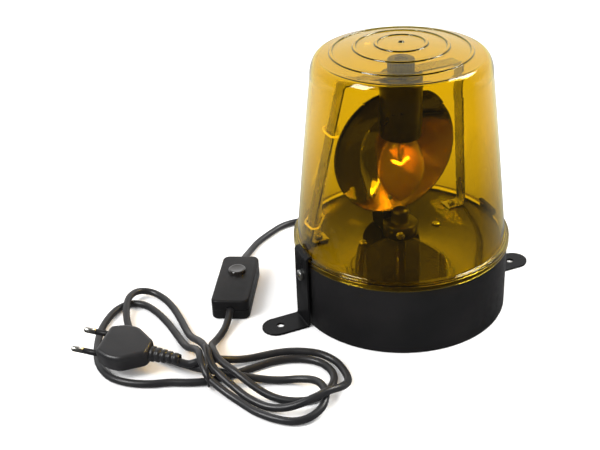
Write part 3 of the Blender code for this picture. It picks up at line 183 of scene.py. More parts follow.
def chrome_plate():
    """Vacuum-metallised plastic: a mirror with faint ripple from the moulding."""
    made, shader = finish_of("chrome_plate", "dedbd6", 0.04, Metallic=1.0)
    surface_grain(made, shader, 20 * MM, 0.05 * MM, (0.03, 0.07))
    return made


def black_phenolic():
    """Compression-moulded phenolic: brownish black, semi-gloss, slightly mottled."""
    made, shader = finish_of("black_phenolic", "17130f", 0.3)
    surface_grain(made, shader, 1.2 * MM, 0.004 * MM, (0.27, 0.33))
    uneven_colour(made, shader, 3 * MM, "14110e", "181410")
    return made


def lacquered_bulb():
    """Lamp glass, lightly frosted: warm, with the filament glowing through."""
    made, shader = finish_of("lamp_glass", "dcc08c", 0.1, IOR=1.45, Transmission_Weight=0.9)
    surface_grain(made, shader, 6 * MM, 0.02 * MM, (0.08, 0.2))
    return made


def clear_glass():
    """Drawn soda glass for the lamp's stem."""
    made, shader = finish_of("clear_glass", "f2efe6", 0.05, IOR=1.5, Transmission_Weight=1.0)
    surface_grain(made, shader, 4 * MM, 0.01 * MM)
    return made


def plain_brass():
    """Rolled brass, dulled by handling."""
    made, shader = finish_of("plain_brass", "c8a558", 0.3, Metallic=1.0)
    surface_grain(made, shader, 0.7 * MM, 0.01 * MM, (0.25, 0.42))
    uneven_colour(made, shader, 5 * MM, "b8924a", "d0b064")
    return made


def hot_tungsten():
    """Drawn tungsten at working heat."""
    made, shader = finish_of("hot_tungsten", "ffd9a0", 0.4, Emission_Strength=9.0)
    shader.inputs["Emission Color"].default_value = linear("ffd27a")
    surface_grain(made, shader, 0.3 * MM, 0.01 * MM)
    return made


def silicone_sleeve():
    """Clear silicone sleeving, slightly milky, over the lamp's two wires."""
    made, shader = finish_of("silicone_sleeve", "f1ecd8", 0.25, IOR=1.41,
                             Transmission_Weight=0.6)
    surface_grain(made, shader, 2 * MM, 0.03 * MM, (0.18, 0.34))
    return made


def white_nylon():
    """Moulded natural nylon: warm white and waxy."""
    made, shader = finish_of("white_nylon", "e4dfd0", 0.42, Subsurface_Weight=0.1)
    shader.inputs["Subsurface Scale"].default_value = MM
    surface_grain(made, shader, 0.8 * MM, 0.02 * MM, (0.36, 0.5))
    return made


def black_pvc(name, colour, second):
    """Soft PVC: near black with a low sheen and faint extrusion unevenness."""
    made, shader = finish_of(name, colour, 0.34, Sheen_Weight=0.06)
    surface_grain(made, shader, 0.9 * MM, 0.02 * MM, (0.28, 0.42))
    uneven_colour(made, shader, 12 * MM, colour, second)
    return made


amber = amber_acrylic()
abs_satin = black_abs()
abs_polished = polished_abs()
enamel = black_enamel()
zinc = zinc_plate()
mirror = chrome_plate()
phenolic = black_phenolic()
bulb_skin = lacquered_bulb()
stem_glass = clear_glass()
brass = plain_brass()
tungsten = hot_tungsten()
sleeve = silicone_sleeve()
nylon = white_nylon()
cord_pvc = black_pvc("cord_pvc", "18181a", "1f1f21")
plug_pvc = black_pvc("plug_pvc", "161618", "1c1c1e")


# ---- shapes ----------------------------------------------------------------------------------
def put(name, mesh, finish, body="housing", nodes=()):
    """A piece in the scene, on its body, standing for its CAD pieces."""
    obj = bpy.data.objects.new(name, mesh)
    scene.collection.objects.link(obj)
    mesh.materials.append(finish)
    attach(obj, body)
    if nodes:
        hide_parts(*nodes)
    return obj


def smooth_mesh(name, shape):
    mesh = bpy.data.meshes.new(name)
    shape.to_mesh(mesh)
    shape.free()
    mesh.shade_smooth()
    return mesh


def turned_mesh(name, profile, steps=96):
    """A closed profile of (radius, height), outer side first, swept about Z."""
    shape = bmesh.new()
    rings = []
    for radius, height in profile:
        if radius <= 0:
            rings.append([shape.verts.new((0, 0, height))])
            continue
        rings.append([shape.verts.new((radius * math.cos(math.tau * k / steps),
                                       radius * math.sin(math.tau * k / steps), height))
                      for k in range(steps)])
    closed = profile[0][0] > 0
    pairs = list(zip(rings, rings[1:])) + ([(rings[-1], rings[0])] if closed else [])
    for upper, lower in pairs:
        for k in range(steps):
            n = (k + 1) % steps
            if len(upper) == 1 and len(lower) == 1:
                continue
            if len(upper) == 1:
                shape.faces.new((upper[0], lower[k], lower[n]))
            elif len(lower) == 1:
                shape.faces.new((upper[k], lower[0], upper[n]))
            else:
                shape.faces.new((upper[k], lower[k], lower[n], upper[n]))
    bmesh.ops.recalc_face_normals(shape, faces=shape.faces)
    return smooth_mesh(name, shape)


def soften(obj, width, segments=3, angle=35.0):
    """Rounded edges with clean shading."""
    rounding = obj.modifiers.new("edges", "BEVEL")
    rounding.width = width
    rounding.segments = segments
    rounding.limit_method = "ANGLE"
    rounding.angle_limit = math.radians(angle)
    rounding.harden_normals = True
    return obj


def prism_mesh(name, outline, low, high):
    """A flat outline drawn up from one height to another."""
    shape = bmesh.new()
    foot = [shape.verts.new((x, y, low)) for x, y in outline]
    head = [shape.verts.new((x, y, high)) for x, y in outline]
    shape.faces.new(foot[::-1])
    shape.faces.new(head)
    count = len(outline)
    for k in range(count):
        n = (k + 1) % count
        shape.faces.new((foot[k], foot[n], head[n], head[k]))
    bmesh.ops.recalc_face_normals(shape, faces=shape.faces)
    return smooth_mesh(name, shape)


def helper(name, mesh):
    """A hidden shape that cuts another."""
    obj = bpy.data.objects.new(name, mesh)
    scene.collection.objects.link(obj)
    obj.hide_render = True
    obj.display_type = "WIRE"
    return obj


def cut(obj, *tools):
    """Cut hidden shapes out of a piece, and keep the result as its mesh."""
    for tool in tools:
        step = obj.modifiers.new(tool.name, "BOOLEAN")
        step.operation = "DIFFERENCE"
        step.solver = "EXACT"
        step.object = tool
    bpy.context.view_layer.update()
    seen = obj.evaluated_get(bpy.context.evaluated_depsgraph_get())
    made = bpy.data.meshes.new_from_object(seen)
    obj.modifiers.clear()
    obj.data = made
    for tool in tools:
        bpy.data.objects.remove(tool, do_unlink=True)
    return obj


def rod_mesh(name, radius, start, end, sides=48):
    start, end = Vector(start), Vector(end)
    shape = bmesh.new()
    bmesh.ops.create_cone(shape, cap_ends=True, segments=sides, radius1=radius,
                          radius2=radius, depth=(end - start).length)
    turn = (end - start).to_track_quat("Z", "Y").to_matrix().to_4x4()
    shape.transform(Matrix.Translation((start + end) / 2) @ turn)
    return smooth_mesh(name, shape)


def block_mesh(name, low, high):
    outline = [(low[0], low[1]), (high[0], low[1]), (high[0], high[1]), (low[0], high[1])]
    return prism_mesh(name, outline, low[2], high[2])


def smooth_route(points, spacing):
    """Points a spacing apart along one smooth curve through the given points."""
    knots = [Vector(p) for p in points]
    fine = []
    for i in range(len(knots) - 1):
        b, c = knots[i], knots[i + 1]
        a = knots[i - 1] if i else b * 2 - c
        d = knots[i + 2] if i + 2 < len(knots) else c * 2 - b
        # each span is timed by its own length, so that short spans don't kink
        ta = max((b - a).length, 1e-6) ** 0.5
        tb = max((c - b).length, 1e-6) ** 0.5
        tc = max((d - c).length, 1e-6) ** 0.5
        m1 = (b - a) / ta - (c - a) / (ta + tb) + (c - b) / tb
        m2 = (c - b) / tb - (d - b) / (tb + tc) + (d - c) / tc
        m1, m2 = m1 * tb, m2 * tb
        for step in range(16):
            t = step / 16
            fine.append((2 * t ** 3 - 3 * t ** 2 + 1) * b + (t ** 3 - 2 * t ** 2 + t) * m1
                        + (3 * t ** 2 - 2 * t ** 3) * c + (t ** 3 - t ** 2) * m2)
    fine.append(knots[-1])
    along = [0.0]
    for p, q in zip(fine, fine[1:]):
        along.append(along[-1] + (q - p).length)
    pieces = max(2, round(along[-1] / spacing))
    route, spot = [], 0
    for k in range(pieces + 1):
        want = along[-1] * k / pieces
        while spot < len(along) - 2 and along[spot + 1] < want:
            spot += 1
        share = (want - along[spot]) / (along[spot + 1] - along[spot])
        route.append(fine[spot].lerp(fine[spot + 1], share))
    return route


def route_length(route):
    return sum((q - p).length for p, q in zip(route, route[1:]))


def curve_piece(name, route, radius, finish, body="housing", nodes=(), closed=False):
    """A round cord or wire along a route."""
    curve = bpy.data.curves.new(name, "CURVE")
    curve.dimensions = "3D"
    spline = curve.splines.new("POLY")
    spline.points.add(len(route) - 1)
    for point, place in zip(spline.points, route):
        point.co = (*place, 1.0)
    spline.use_cyclic_u = closed
    curve.bevel_depth = radius
    curve.bevel_resolution = 5
    curve.use_fill_caps = not closed
    spline.use_smooth = True
    return put(name, curve, finish, body, nodes)


# ---- cord ------------------------------------------------------------------------------------
CORD_RADIUS = 2.5 * MM
CORD_DIAMETER = 2 * CORD_RADIUS
FLOOR_Z = CORD_RADIUS + 0.1 * MM
CORD_TO_SWITCH = [(0, 73.4, 12), (0, 88, 12), (0, 101, 11.9), (-0.5, 109, 8.8),
                  (-4.5, 118, 4.2), (-14, 127, 2.8), (-28, 130, 2.6), (-39, 128.5, 2.6),
                  (-52, 122, 2.6), (-66, 113, 2.6), (-78, 101, 3.2), (-86.2, 89.5, 6.2),
                  (-91.2, 80.9, 7.5), (-94.0, 75.8, 7.5)]
FROM_SWITCH = [(-120.0, 28.6, 7.5), (-122.4, 24.2, 7.5), (-125.5, 18.6, 7.1),
               (-131.5, 10.5, 4.8), (-139.8, 1.5, 2.9), (-146.6, -9, 2.6)]
# the hank, loop by loop, as it was folded: plan positions in millimetres
IN_TO_TIE = [(-150.6, -20), (-151.5, -32), (-147.5, -44.5)]
INNER_RIGHT = [(-143.5, -53.5), (-138, -63), (-130.5, -73.5), (-121.5, -81.5), (-111, -86),
               (-100.5, -85), (-92.5, -80), (-87.2, -73), (-85.4, -64.8), (-88, -54),
               (-95, -46.2), (-104.2, -41.2), (-115.4, -38.6), (-128, -38.8), (-142, -39.6),
               (-154, -39.4)]
OUTER_LEFT = [(-162.5, -38.7), (-172.5, -35), (-183.6, -29.3), (-195.7, -24.9),
              (-207.1, -18), (-216.3, -7.5), (-219.9, 5.1), (-219.4, 18.5), (-215.6, 33.3),
              (-209.3, 48.9), (-201.1, 61.3), (-191.3, 70.6), (-181.3, 73), (-173.2, 67.6),
              (-168.2, 56.2), (-164.9, 39.9), (-163.1, 19.5), (-162.3, -3.3), (-160.8, -22.2)]
LOWER_RIGHT = [(-162.6, -34), (-162.2, -44.6), (-156.8, -55.3), (-150.6, -67.9),
               (-144.8, -81.5), (-136.8, -93), (-127.2, -100.9), (-117.8, -102.6),
               (-108.2, -99.4), (-101.6, -91.6), (-99.6, -81.8), (-102, -72.6),
               (-109, -65.3), (-119.5, -59.4), (-131.5, -53), (-143.5, -46.4)]
INNER_LEFT = [(-154.5, -38.6), (-163.2, -27.8), (-168.4, -18.2), (-174.2, -8), (-181, 4),
              (-186.8, 17.3), (-190, 32.7), (-190.2, 48.3), (-186.6, 63.2), (-180.6, 75),
              (-172.4, 81.2), (-163.8, 78.6), (-157.9, 69), (-155.3, 55.6), (-154.9, 38.9),
              (-155.7, 18.1), (-156.3, -5.8), (-156.1, -25)]
OUTER_RIGHT = [(-157.2, -39), (-153.8, -49.6), (-149.2, -58.9), (-143.8, -70.3),
               (-136.3, -81.8), (-125.3, -90.6), (-113.6, -94.3), (-101.2, -94),
               (-90, -90.7), (-82.2, -83.2), (-78.4, -71), (-79, -58.6), (-85, -48.4),
               (-94, -42), (-103, -37), (-114, -32.8), (-128.1, -29.6), (-142.2, -28),
               (-154.4, -27.4)]
OUT_TO_PLUG = [(-163.4, -27)]
PLUG_FRONT = Vector((-214.5, 13.5, 15.8)) * MM
PLUG_TURN = (Matrix.Rotation(math.radians(139.0), 4, "Z")
             @ Matrix.Rotation(math.radians(-3.0), 4, "Y")
             @ Matrix.Rotation(math.radians(-8.0), 4, "X"))
PLUG_PLACE = Matrix.Translation(PLUG_FRONT) @ PLUG_TURN
PLUG_LENGTH = 34.0 * MM
RELIEF_LENGTH = 20.0 * MM
TIE_AT = Vector((-159.5, -33.6, 0)) * MM
TIE_TURN = math.radians(-15.0)


def lay(route, free_start, free_end):
    """Lay a cord turn by turn: it rests on the floor, and over what lies there already."""
    step = route_length(route) / (len(route) - 1)
    skip = round(4 * CORD_DIAMETER / step)
    count = len(route)
    heights = [FLOOR_Z] * count
    # at the tie the runs from the left lobe to the right one lie over all the others
    near_tie = [(p - TIE_AT).xy.length < 24 * MM for p in route]
    falling = [q.y - p.y < -0.6 * (q - p).xy.length for p, q in zip(route, route[1:])] + [False]
    over = [near and down for near, down in zip(near_tie, falling)]
    order = [i for i in range(count) if not over[i]] + [i for i in range(count) if over[i]]
    spacing = 1.04 * CORD_DIAMETER
    reach = round(34 * MM / step)
    for i in order:
        if i < free_start:
            continue
        need = FLOOR_Z
        for j in range(count) if over[i] else range(i - skip):
            if abs(i - j) <= skip or (over[j] and (j > i or not over[i])):
                continue
            apart = math.hypot(route[i].x - route[j].x, route[i].y - route[j].y)
            if apart < spacing:
                need = max(need, heights[j] + math.sqrt(spacing ** 2 - apart ** 2))
        heights[i] = max(heights[i], need)
        # the cord is stiff, so it starts to rise well before what it passes over
        for k in range(1, reach):
            fall = 0.5 - 0.5 * math.cos(math.pi * (1 - k / reach))
            if i - k > 0:
                heights[i - k] = max(heights[i - k], FLOOR_Z + (need - FLOOR_Z) * fall)
            if i + k < count:
                heights[i + k] = max(heights[i + k], FLOOR_Z + (need - FLOOR_Z) * fall)
    for _ in range(10):
        heights = [heights[0]] + [
            max(h, (a + 2 * h + b) / 4) if h > FLOOR_Z + 2 * MM else (a + 2 * h + b) / 4
            for a, h, b in zip(heights, heights[1:], heights[2:])] + [heights[-1]]
    for i in range(count):
        start = min(1.0, i / free_start) if free_start else 1.0
        end = min(1.0, (count - 1 - i) / free_end)
        share = min(start, 3 * end ** 2 - 2 * end ** 3)
        route[i].z = route[i].z + (heights[i] - route[i].z) * share
    return route


supply = smooth_route([Vector(p) * MM for p in CORD_TO_SWITCH], 3 * MM)
supply_cord = curve_piece("cord_gland_to_switch", supply, CORD_RADIUS, cord_pvc,
                          nodes=["cord_to_switch"])

flat = IN_TO_TIE + INNER_RIGHT + OUTER_LEFT + LOWER_RIGHT + INNER_LEFT + OUTER_RIGHT + OUT_TO_PLUG
into_plug = [PLUG_PLACE @ Vector((-PLUG_LENGTH - step, 0, 0))
             for step in (RELIEF_LENGTH + 1.5 * MM, 0.6 * RELIEF_LENGTH, 3 * MM)]
knots = [Vector(p) * MM for p in FROM_SWITCH] + [Vector((x * MM, y * MM, FLOOR_Z)) for x, y in flat]
flex = smooth_route(knots + into_plug, 3 * MM)
START_FREE = round(38 * MM / (3 * MM))
END_FREE = round(36 * MM / (3 * MM))
lay(flex, START_FREE, END_FREE)
flex_cord = curve_piece("cord_switch_to_plug", flex, CORD_RADIUS, cord_pvc,
                        nodes=["cord_to_hank", "cord_to_plug", "hank_left", "hank_right"])


def ribbed_sleeve(root, tip, length, ribs, start):
    """Side of a tapered moulded relief: ribs with softly rounded edges."""
    side = []
    edge = 0.25 * MM
    for k in range(ribs):
        low = start + length * k / ribs
        high = start + length * (k + 0.6) / ribs
        radius = root + (tip - root) * k / (ribs - 1)
        neck = max(radius - 0.7 * MM, CORD_RADIUS + 0.8 * MM)
        side += [(radius - edge, low), (radius, low + edge), (radius, high - edge),
                 (radius - edge, high), (neck, high + 0.1 * MM),
                 (neck, start + length * (k + 1) / ribs - 0.1 * MM)]
    return side


# ---- cord entry ------------------------------------------------------------------------------
BASE_RADIUS = 74.0 * MM
GLAND_Z = 12.0 * MM
bore = CORD_RADIUS + 0.15 * MM
outside = BASE_RADIUS + 0.3 * MM
inside = BASE_RADIUS - 3.1 * MM
entry = ribbed_sleeve(5.4 * MM, 3.7 * MM, 22.0 * MM, 5, outside + 2 * MM)
profile = [(bore, outside + 24 * MM)] + entry[::-1] + [
    (6.6 * MM, outside + 2 * MM), (7.0 * MM, outside + 1.6 * MM), (7.0 * MM, outside + 0.3 * MM),
    (6.7 * MM, outside), (4.9 * MM, outside), (4.9 * MM, inside), (6.2 * MM, inside),
    (6.2 * MM, inside - 2.5 * MM), (bore, inside - 2.5 * MM)]
gland = put("cord_entry", turned_mesh("cord_entry", profile, 48), plug_pvc,
            nodes=["cord_gland"])
gland.location = (0, 0, GLAND_Z)
gland.rotation_euler = (-math.pi / 2, 0, 0)

# ---- dome ------------------------------------------------------------------------------------
DECK_TOP = 49.8 * MM
FLANGE_TOP = 54.1 * MM
DOME_TOP = 190.4 * MM
CROWN_REACH = 53.0 * MM
CROWN_SAG = 7.3 * MM
SHOULDER_Z = 169.6 * MM
DOME_WALL = 2.0 * MM


def crown_z(radius, inset=0.0):
    return DOME_TOP - inset - CROWN_SAG * (radius / CROWN_REACH) ** 2


def dome_side(inset):
    """The rounded shoulder and the tapered wall, from the crown's edge down."""
    corner = 6.7 * MM - inset
    rise = crown_z(CROWN_REACH, inset) - SHOULDER_Z
    side = []
    for k in range(25):
        turn = math.pi / 2 * (1 - k / 24)
        side.append((CROWN_REACH + corner * math.cos(turn),
                     SHOULDER_Z + rise * math.sin(turn)))
    top_r, foot_r = 59.7 * MM - inset, 72.0 * MM - inset
    for k in range(1, 24):
        share = k / 24
        bow = 0.35 * MM * math.sin(math.pi * share)
        side.append((top_r + (foot_r - top_r) * share + bow,
                     SHOULDER_Z + (FLANGE_TOP + 1.2 * MM - SHOULDER_Z) * share))
    return side


nub = [(0, 191.4 * MM), (0.8 * MM, 191.3 * MM), (1.4 * MM, 191.0 * MM), (1.8 * MM, 190.5 * MM)]
RIB_HALF = 1.3 * MM
RIB_RADII = (16.3 * MM, 30.3 * MM, 45.5 * MM)
rib_section = ((-1.2, 0), (-1.1, 0.02), (-1.0, 0.12), (-0.88, 0.5), (-0.76, 0.88), (-0.6, 0.98),
               (-0.3, 1), (0, 1), (0.3, 1), (0.6, 0.98), (0.76, 0.88), (0.88, 0.5), (1.0, 0.12),
               (1.1, 0.02), (1.2, 0))
crown = [(rib + offset * RIB_HALF, crown_z(rib + offset * RIB_HALF) + lift * 0.7 * MM)
         for rib in RIB_RADII for offset, lift in rib_section]
crown += [(r * MM, crown_z(r * MM)) for r in [2.2 + 0.8 * k for k in range(64)]
          if all(abs(r * MM - rib) > 1.4 * RIB_HALF for rib in RIB_RADII) and r < 52.6]
crown.sort()
flange = [(72.0 * MM, FLANGE_TOP + 0.9 * MM), (72.3 * MM, FLANGE_TOP + 0.3 * MM),
          (72.9 * MM, FLANGE_TOP), (74.4 * MM, FLANGE_TOP), (74.85 * MM, FLANGE_TOP - 0.2 * MM),
          (75.0 * MM, FLANGE_TOP - 0.6 * MM), (75.0 * MM, 52.2 * MM), (74.6 * MM, 51.9 * MM),
          (74.6 * MM, 51.4 * MM), (75.0 * MM, 51.1 * MM), (75.0 * MM, 49.0 * MM),
          (74.6 * MM, 48.6 * MM), (73.1 * MM, 48.6 * MM), (72.9 * MM, 48.8 * MM),
          (72.9 * MM, 51.9 * MM), (72.7 * MM, 52.1 * MM), (70.2 * MM, 52.1 * MM),
          (70.0 * MM, 52.4 * MM)]
under = [(r, z) for r, z in reversed(dome_side(DOME_WALL))]
under += [(share * CROWN_REACH, crown_z(share * CROWN_REACH, DOME_WALL))
          for share in [1 - k / 32 for k in range(1, 32)]] + [(0, DOME_TOP - DOME_WALL)]
dome = put("amber_dome", turned_mesh("amber_dome", nub + crown + dome_side(0.0) + flange + under,
                                     160), amber, nodes=["dome"])

# ---- base ------------------------------------------------------------------------------------
SPIGOT = 72.3 * MM
shell_profile = [
    (SPIGOT - 0.3 * MM, 51.8 * MM), (SPIGOT, 51.5 * MM), (SPIGOT, 48.3 * MM),
    (BASE_RADIUS - 0.5 * MM, 48.3 * MM), (BASE_RADIUS - 0.15 * MM, 48.15 * MM),
    (BASE_RADIUS, 47.8 * MM), (BASE_RADIUS, 0.6 * MM), (BASE_RADIUS - 0.2 * MM, 0.15 * MM),
    (BASE_RADIUS - 0.6 * MM, 0), (71.8 * MM, 0), (71.8 * MM, 47.6 * MM), (6.0 * MM, 47.6 * MM),
    (6.0 * MM, 49.5 * MM), (6.3 * MM, DECK_TOP), (70.0 * MM, DECK_TOP),
    (70.3 * MM, DECK_TOP + 0.2 * MM), (70.3 * MM, 51.5 * MM), (70.6 * MM, 51.8 * MM)]
base = put("base_moulding", turned_mesh("base_moulding", shell_profile, 160), abs_satin,
           nodes=["base_shell"])
base.data.materials.append(abs_polished)
for face in base.data.polygons:
    middle = face.center
    if middle.z > 47.9 * MM and math.hypot(middle.x, middle.y) < 72.2 * MM:
        face.material_index = 1

# ---- fixing brackets -------------------------------------------------------------------------
STRAP_X = 76.05 * MM
STRIP = 1.5 * MM
FOOT_TIP_X, FOOT_HOLE_X = 107 * MM, 94 * MM
FOOT_RADIUS = 10 * MM
STRAP_SCREW_Z = 37.5 * MM


def bent_path(corners, radius, steps=10):
    """A path of (x, z) corners with each inner corner rounded."""
    path = [corners[0]]
    for before, corner, after in zip(corners, corners[1:], corners[2:]):
        here = Vector(corner)
        back = (Vector(before) - here).normalized()
        on = (Vector(after) - here).normalized()
        half = back.angle(on) / 2
        centre = here + (back + on).normalized() * radius / math.sin(half)
        reach = radius / math.tan(half)
        first, last = here + back * reach - centre, here + on * reach - centre
        sweep = first.angle(last)
        for k in range(steps + 1):
            share = k / steps
            arm = first * math.sin((1 - share) * sweep) + last * math.sin(share * sweep)
            path.append(tuple(centre + arm / math.sin(sweep)))
    path.append(corners[-1])
    return path


def strip_mesh(name, path, width, thick, lean=0.0, lean_from=0.0):
    """Bent sheet strip along an (x, z) path, closed, leaning in Y where asked."""
    shape = bmesh.new()
    rings = []
    count = len(path)
    for i, (x, z) in enumerate(path):
        here = Vector((x, z))
        before = Vector(path[max(i - 1, 0)])
        after = Vector(path[min(i + 1, count - 1)])
        way = (after - before).normalized()
        side = Vector((-way.y, way.x)) * thick / 2
        if 0 < i < count - 1:
            turn = (here - before).normalized().angle((after - here).normalized())
            side /= max(math.cos(turn / 2), 0.5)
        shift = lean * (lean_from - z)
        ring = [shape.verts.new((x + s * side.x, shift + y * width / 2, z + s * side.y))
                for s, y in ((-1, -1), (1, -1), (1, 1), (-1, 1))]
        rings.append(ring)
    for first, second in zip(rings, rings[1:]):
        for k in range(4):
            n = (k + 1) % 4
            shape.faces.new((first[k], first[n], second[n], second[k]))
    shape.faces.new(rings[0][::-1])
    shape.faces.new(rings[-1])
    bmesh.ops.recalc_face_normals(shape, faces=shape.faces)
    return smooth_mesh(name, shape)


def fixing_bracket(side, sign):
    """Pressed strip: screw-down foot with a round end, strap and a lip over the flange."""
    lip = FLANGE_TOP + 0.3 * MM + STRIP / 2
    path = bent_path([(FOOT_TIP_X, STRIP / 2), (STRAP_X, STRIP / 2), (STRAP_X, lip),
                      (STRAP_X - 3.6 * MM, lip)], 2.0 * MM)
    obj = put(f"fixing_bracket_{side}", strip_mesh(f"fixing_bracket_{side}", path,
                                                     2 * FOOT_RADIUS, STRIP), enamel,
              nodes=[f"bracket_{side}"])
    centre, clear = FOOT_TIP_X - FOOT_RADIUS, FOOT_RADIUS + 2 * MM
    outline = [(120 * MM, -clear), (120 * MM, clear), (centre, clear)]
    outline += [(centre + FOOT_RADIUS * math.cos(a), FOOT_RADIUS * math.sin(a))
                for a in [math.radians(90 - 180 * k / 32) for k in range(33)]]
    outline += [(centre, -clear)]
    round_end = helper("round_end", prism_mesh("round_end", outline, -2 * MM, 4 * MM))
    hole = helper("foot_hole", rod_mesh("foot_hole", 2.5 * MM, (FOOT_HOLE_X, 0, -2 * MM),
                                        (FOOT_HOLE_X, 0, 4 * MM), 32))
    strap = helper("strap_hole", rod_mesh("strap_hole", 2.3 * MM,
                                          (74.5 * MM, 0, STRAP_SCREW_Z),
                                          (78 * MM, 0, STRAP_SCREW_Z), 32))
    cut(obj, round_end, hole, strap)
    if sign < 0:
        obj.data.transform(Matrix.Rotation(math.pi, 4, "Z"))
    soften(obj, 0.3 * MM, 3, 40)
    return obj


fixing_bracket("left", -1)
fixing_bracket("right", 1)


# ---- screws: shaft radius, head radius, head height ------------------------------------------
SCREW_M4 = (2.0 * MM, 3.8 * MM, 2.4 * MM)
SCREW_M3 = (1.5 * MM, 2.8 * MM, 1.9 * MM)
FRAME_SCREW_X, FRAME_SCREW_Y = 53.6 * MM, 20 * MM


def pan_screw(name, node, size, seat, inward, length, body="housing"):
    """A pan-head screw with a cross recess and a rounded head."""
    shaft, head, height = size
    head_round = [(head * math.sin(t), height * (0.45 + 0.55 * math.cos(t)))
                  for t in [math.pi / 2 * k / 8 for k in range(9)]]
    pitch = 0.25 * shaft
    thread = []
    turns = int(length / pitch / 2)
    for k in range(turns):
        thread += [(shaft, -pitch * (2 * k + 0.5)), (shaft * 0.88, -pitch * (2 * k + 1.5))]
    profile = head_round + [(head, 0), (shaft, 0)] + thread + [(0, -length)]
    obj = put(name, turned_mesh(name, profile, 40), zinc, body, [node])
    a, b = 0.2 * shaft, 0.56 * head
    tools = [helper(f"cross_{k}", block_mesh(f"cross_{k}", (-x, -y, height * 0.45),
                                             (x, y, height * 2)))
             for k, (x, y) in enumerate(((a, b), (b, a)))]
    cut(obj, *tools)
    way = Vector(inward)
    turn = (-way).to_track_quat("Z", "Y").to_matrix().to_4x4()
    obj.data.transform(Matrix.Translation(Vector(seat) - way * 0.05 * MM) @ turn)
    obj.data.shade_smooth()
    obj.data.set_sharp_from_angle(angle=math.radians(40))
    return obj


for side, sign in (("left", -1), ("right", 1)):
    pan_screw(f"strap_screw_{side}", f"bracket_screw_{side}", SCREW_M4,
              (sign * 76.9 * MM, 0, STRAP_SCREW_Z), (-sign, 0, 0), 13 * MM)
    pan_screw(f"frame_foot_screw_{side}", f"frame_screw_{side}", SCREW_M3,
              (sign * FRAME_SCREW_X, FRAME_SCREW_Y, 51.4 * MM), (0, 0, -1), 6 * MM)
for k, x in enumerate((-29 * MM, 29 * MM)):
    pan_screw(f"motor_fixing_{k + 1}", f"motor_screw_{k + 1}", SCREW_M3,
              (x, 0, DECK_TOP + 0.1 * MM), (0, 0, -1), 7 * MM)
HUB_SCREW_TURN = math.radians(-118)
hub_way = Vector((math.cos(HUB_SCREW_TURN), math.sin(HUB_SCREW_TURN), 0))
pan_screw("hub_side_screw", "hub_set_screw", SCREW_M3,
          Vector((0, 0, 55.4 * MM)) + hub_way * 12.2 * MM, -hub_way, 7.6 * MM, "spinner")
pan_screw("reflector_screw", "arm_screw", SCREW_M3, (0, 25.2 * MM, 72 * MM), (0, -1, 0), 12 * MM,
          "spinner")

# ---- reflector -------------------------------------------------------------------------------
DISH_RADIUS, DISH_DEPTH, DISH_WALL = 45.0 * MM, 30.0 * MM, 1.0 * MM
DISH_Z, DISH_Y = 111.0 * MM, 7.4 * MM
STEPS = 32


def bowl(radius, depth):
    return [(radius * k / STEPS, depth * (1 - (k / STEPS) ** 2)) for k in range(STEPS + 1)]


lip = [(46.0 * MM, 0.35 * MM), (46.0 * MM, 0), (45.2 * MM, 0)]
dish = put("mirror_bowl", turned_mesh(
    "mirror_bowl", bowl(DISH_RADIUS + DISH_WALL, DISH_DEPTH + DISH_WALL)[:-1] + lip
    + bowl(DISH_RADIUS, DISH_DEPTH)[::-1][1:], 128), mirror, "spinner", ["reflector_dish"])
dish.data.transform(Matrix.Translation((0, DISH_Y, DISH_Z))
                    @ Matrix.Rotation(-math.pi / 2, 4, "X"))
flat_top = helper("flat_top", block_mesh("flat_top", (-0.1, -0.1, 150 * MM), (0.1, 0.1, 0.25)))
notch = helper("holder_notch", rod_mesh("holder_notch", 16.4 * MM, (0, 0, DISH_Z),
                                        (0, 0, 0.2), 64))
cut(dish, flat_top, notch)
dish.data.shade_smooth()
dish.data.set_sharp_from_angle(angle=math.radians(30))

HUB_FOOT = 50.4 * MM
HUB_SHOULDER = 60.4 * MM
HUB_RADIUS = 12.0 * MM
nose = [(6.2 * MM * math.sin(t), 67.3 * MM + 3.7 * MM * math.cos(t))
        for t in [math.pi / 2 * k / 10 for k in range(11)]]
nose[0] = (0, nose[0][1])
put("spindle_hub", turned_mesh("spindle_hub", nose + [
    (6.2 * MM, HUB_SHOULDER + 0.8 * MM), (7.0 * MM, HUB_SHOULDER), (11.4 * MM, HUB_SHOULDER),
    (HUB_RADIUS, HUB_SHOULDER - 0.6 * MM), (HUB_RADIUS, HUB_FOOT + 0.3 * MM),
    (11.7 * MM, HUB_FOOT), (3.8 * MM, HUB_FOOT), (3.8 * MM, 61.6 * MM), (0, 61.6 * MM)], 64),
    phenolic, "spinner", ["reflector_hub"])

# ---- lamp frame ------------------------------------------------------------------------------
FRAME_TOP_Z, FRAME_FOOT_Z = 169.5 * MM, 50.7 * MM
FRAME_TOP_X, FRAME_FOOT_X = 43.0 * MM, 62.0 * MM
FRAME_LEAN = 20.0 / 118.8
path = bent_path([(-48 * MM, FRAME_FOOT_Z), (-FRAME_FOOT_X, FRAME_FOOT_Z),
                  (-FRAME_TOP_X, FRAME_TOP_Z), (FRAME_TOP_X, FRAME_TOP_Z),
                  (FRAME_FOOT_X, FRAME_FOOT_Z), (48 * MM, FRAME_FOOT_Z)], 2.4 * MM)
lamp_frame = put("lamp_bridge", strip_mesh("lamp_bridge", path, 11 * MM, 1.2 * MM, FRAME_LEAN,
                                           FRAME_TOP_Z), zinc, nodes=["lamp_frame"])
cut(lamp_frame, *[helper(f"frame_hole_{k}", rod_mesh(f"frame_hole_{k}", r, (x, y, z - 3 * MM),
                                                     (x, y, z + 3 * MM), 32))
                  for k, (r, x, y, z) in enumerate(((4.3 * MM, 0, 0, FRAME_TOP_Z),
                                                    (1.8 * MM, -FRAME_SCREW_X, FRAME_SCREW_Y,
                                                     FRAME_FOOT_Z),
                                                    (1.8 * MM, FRAME_SCREW_X, FRAME_SCREW_Y,
                                                     FRAME_FOOT_Z)))])
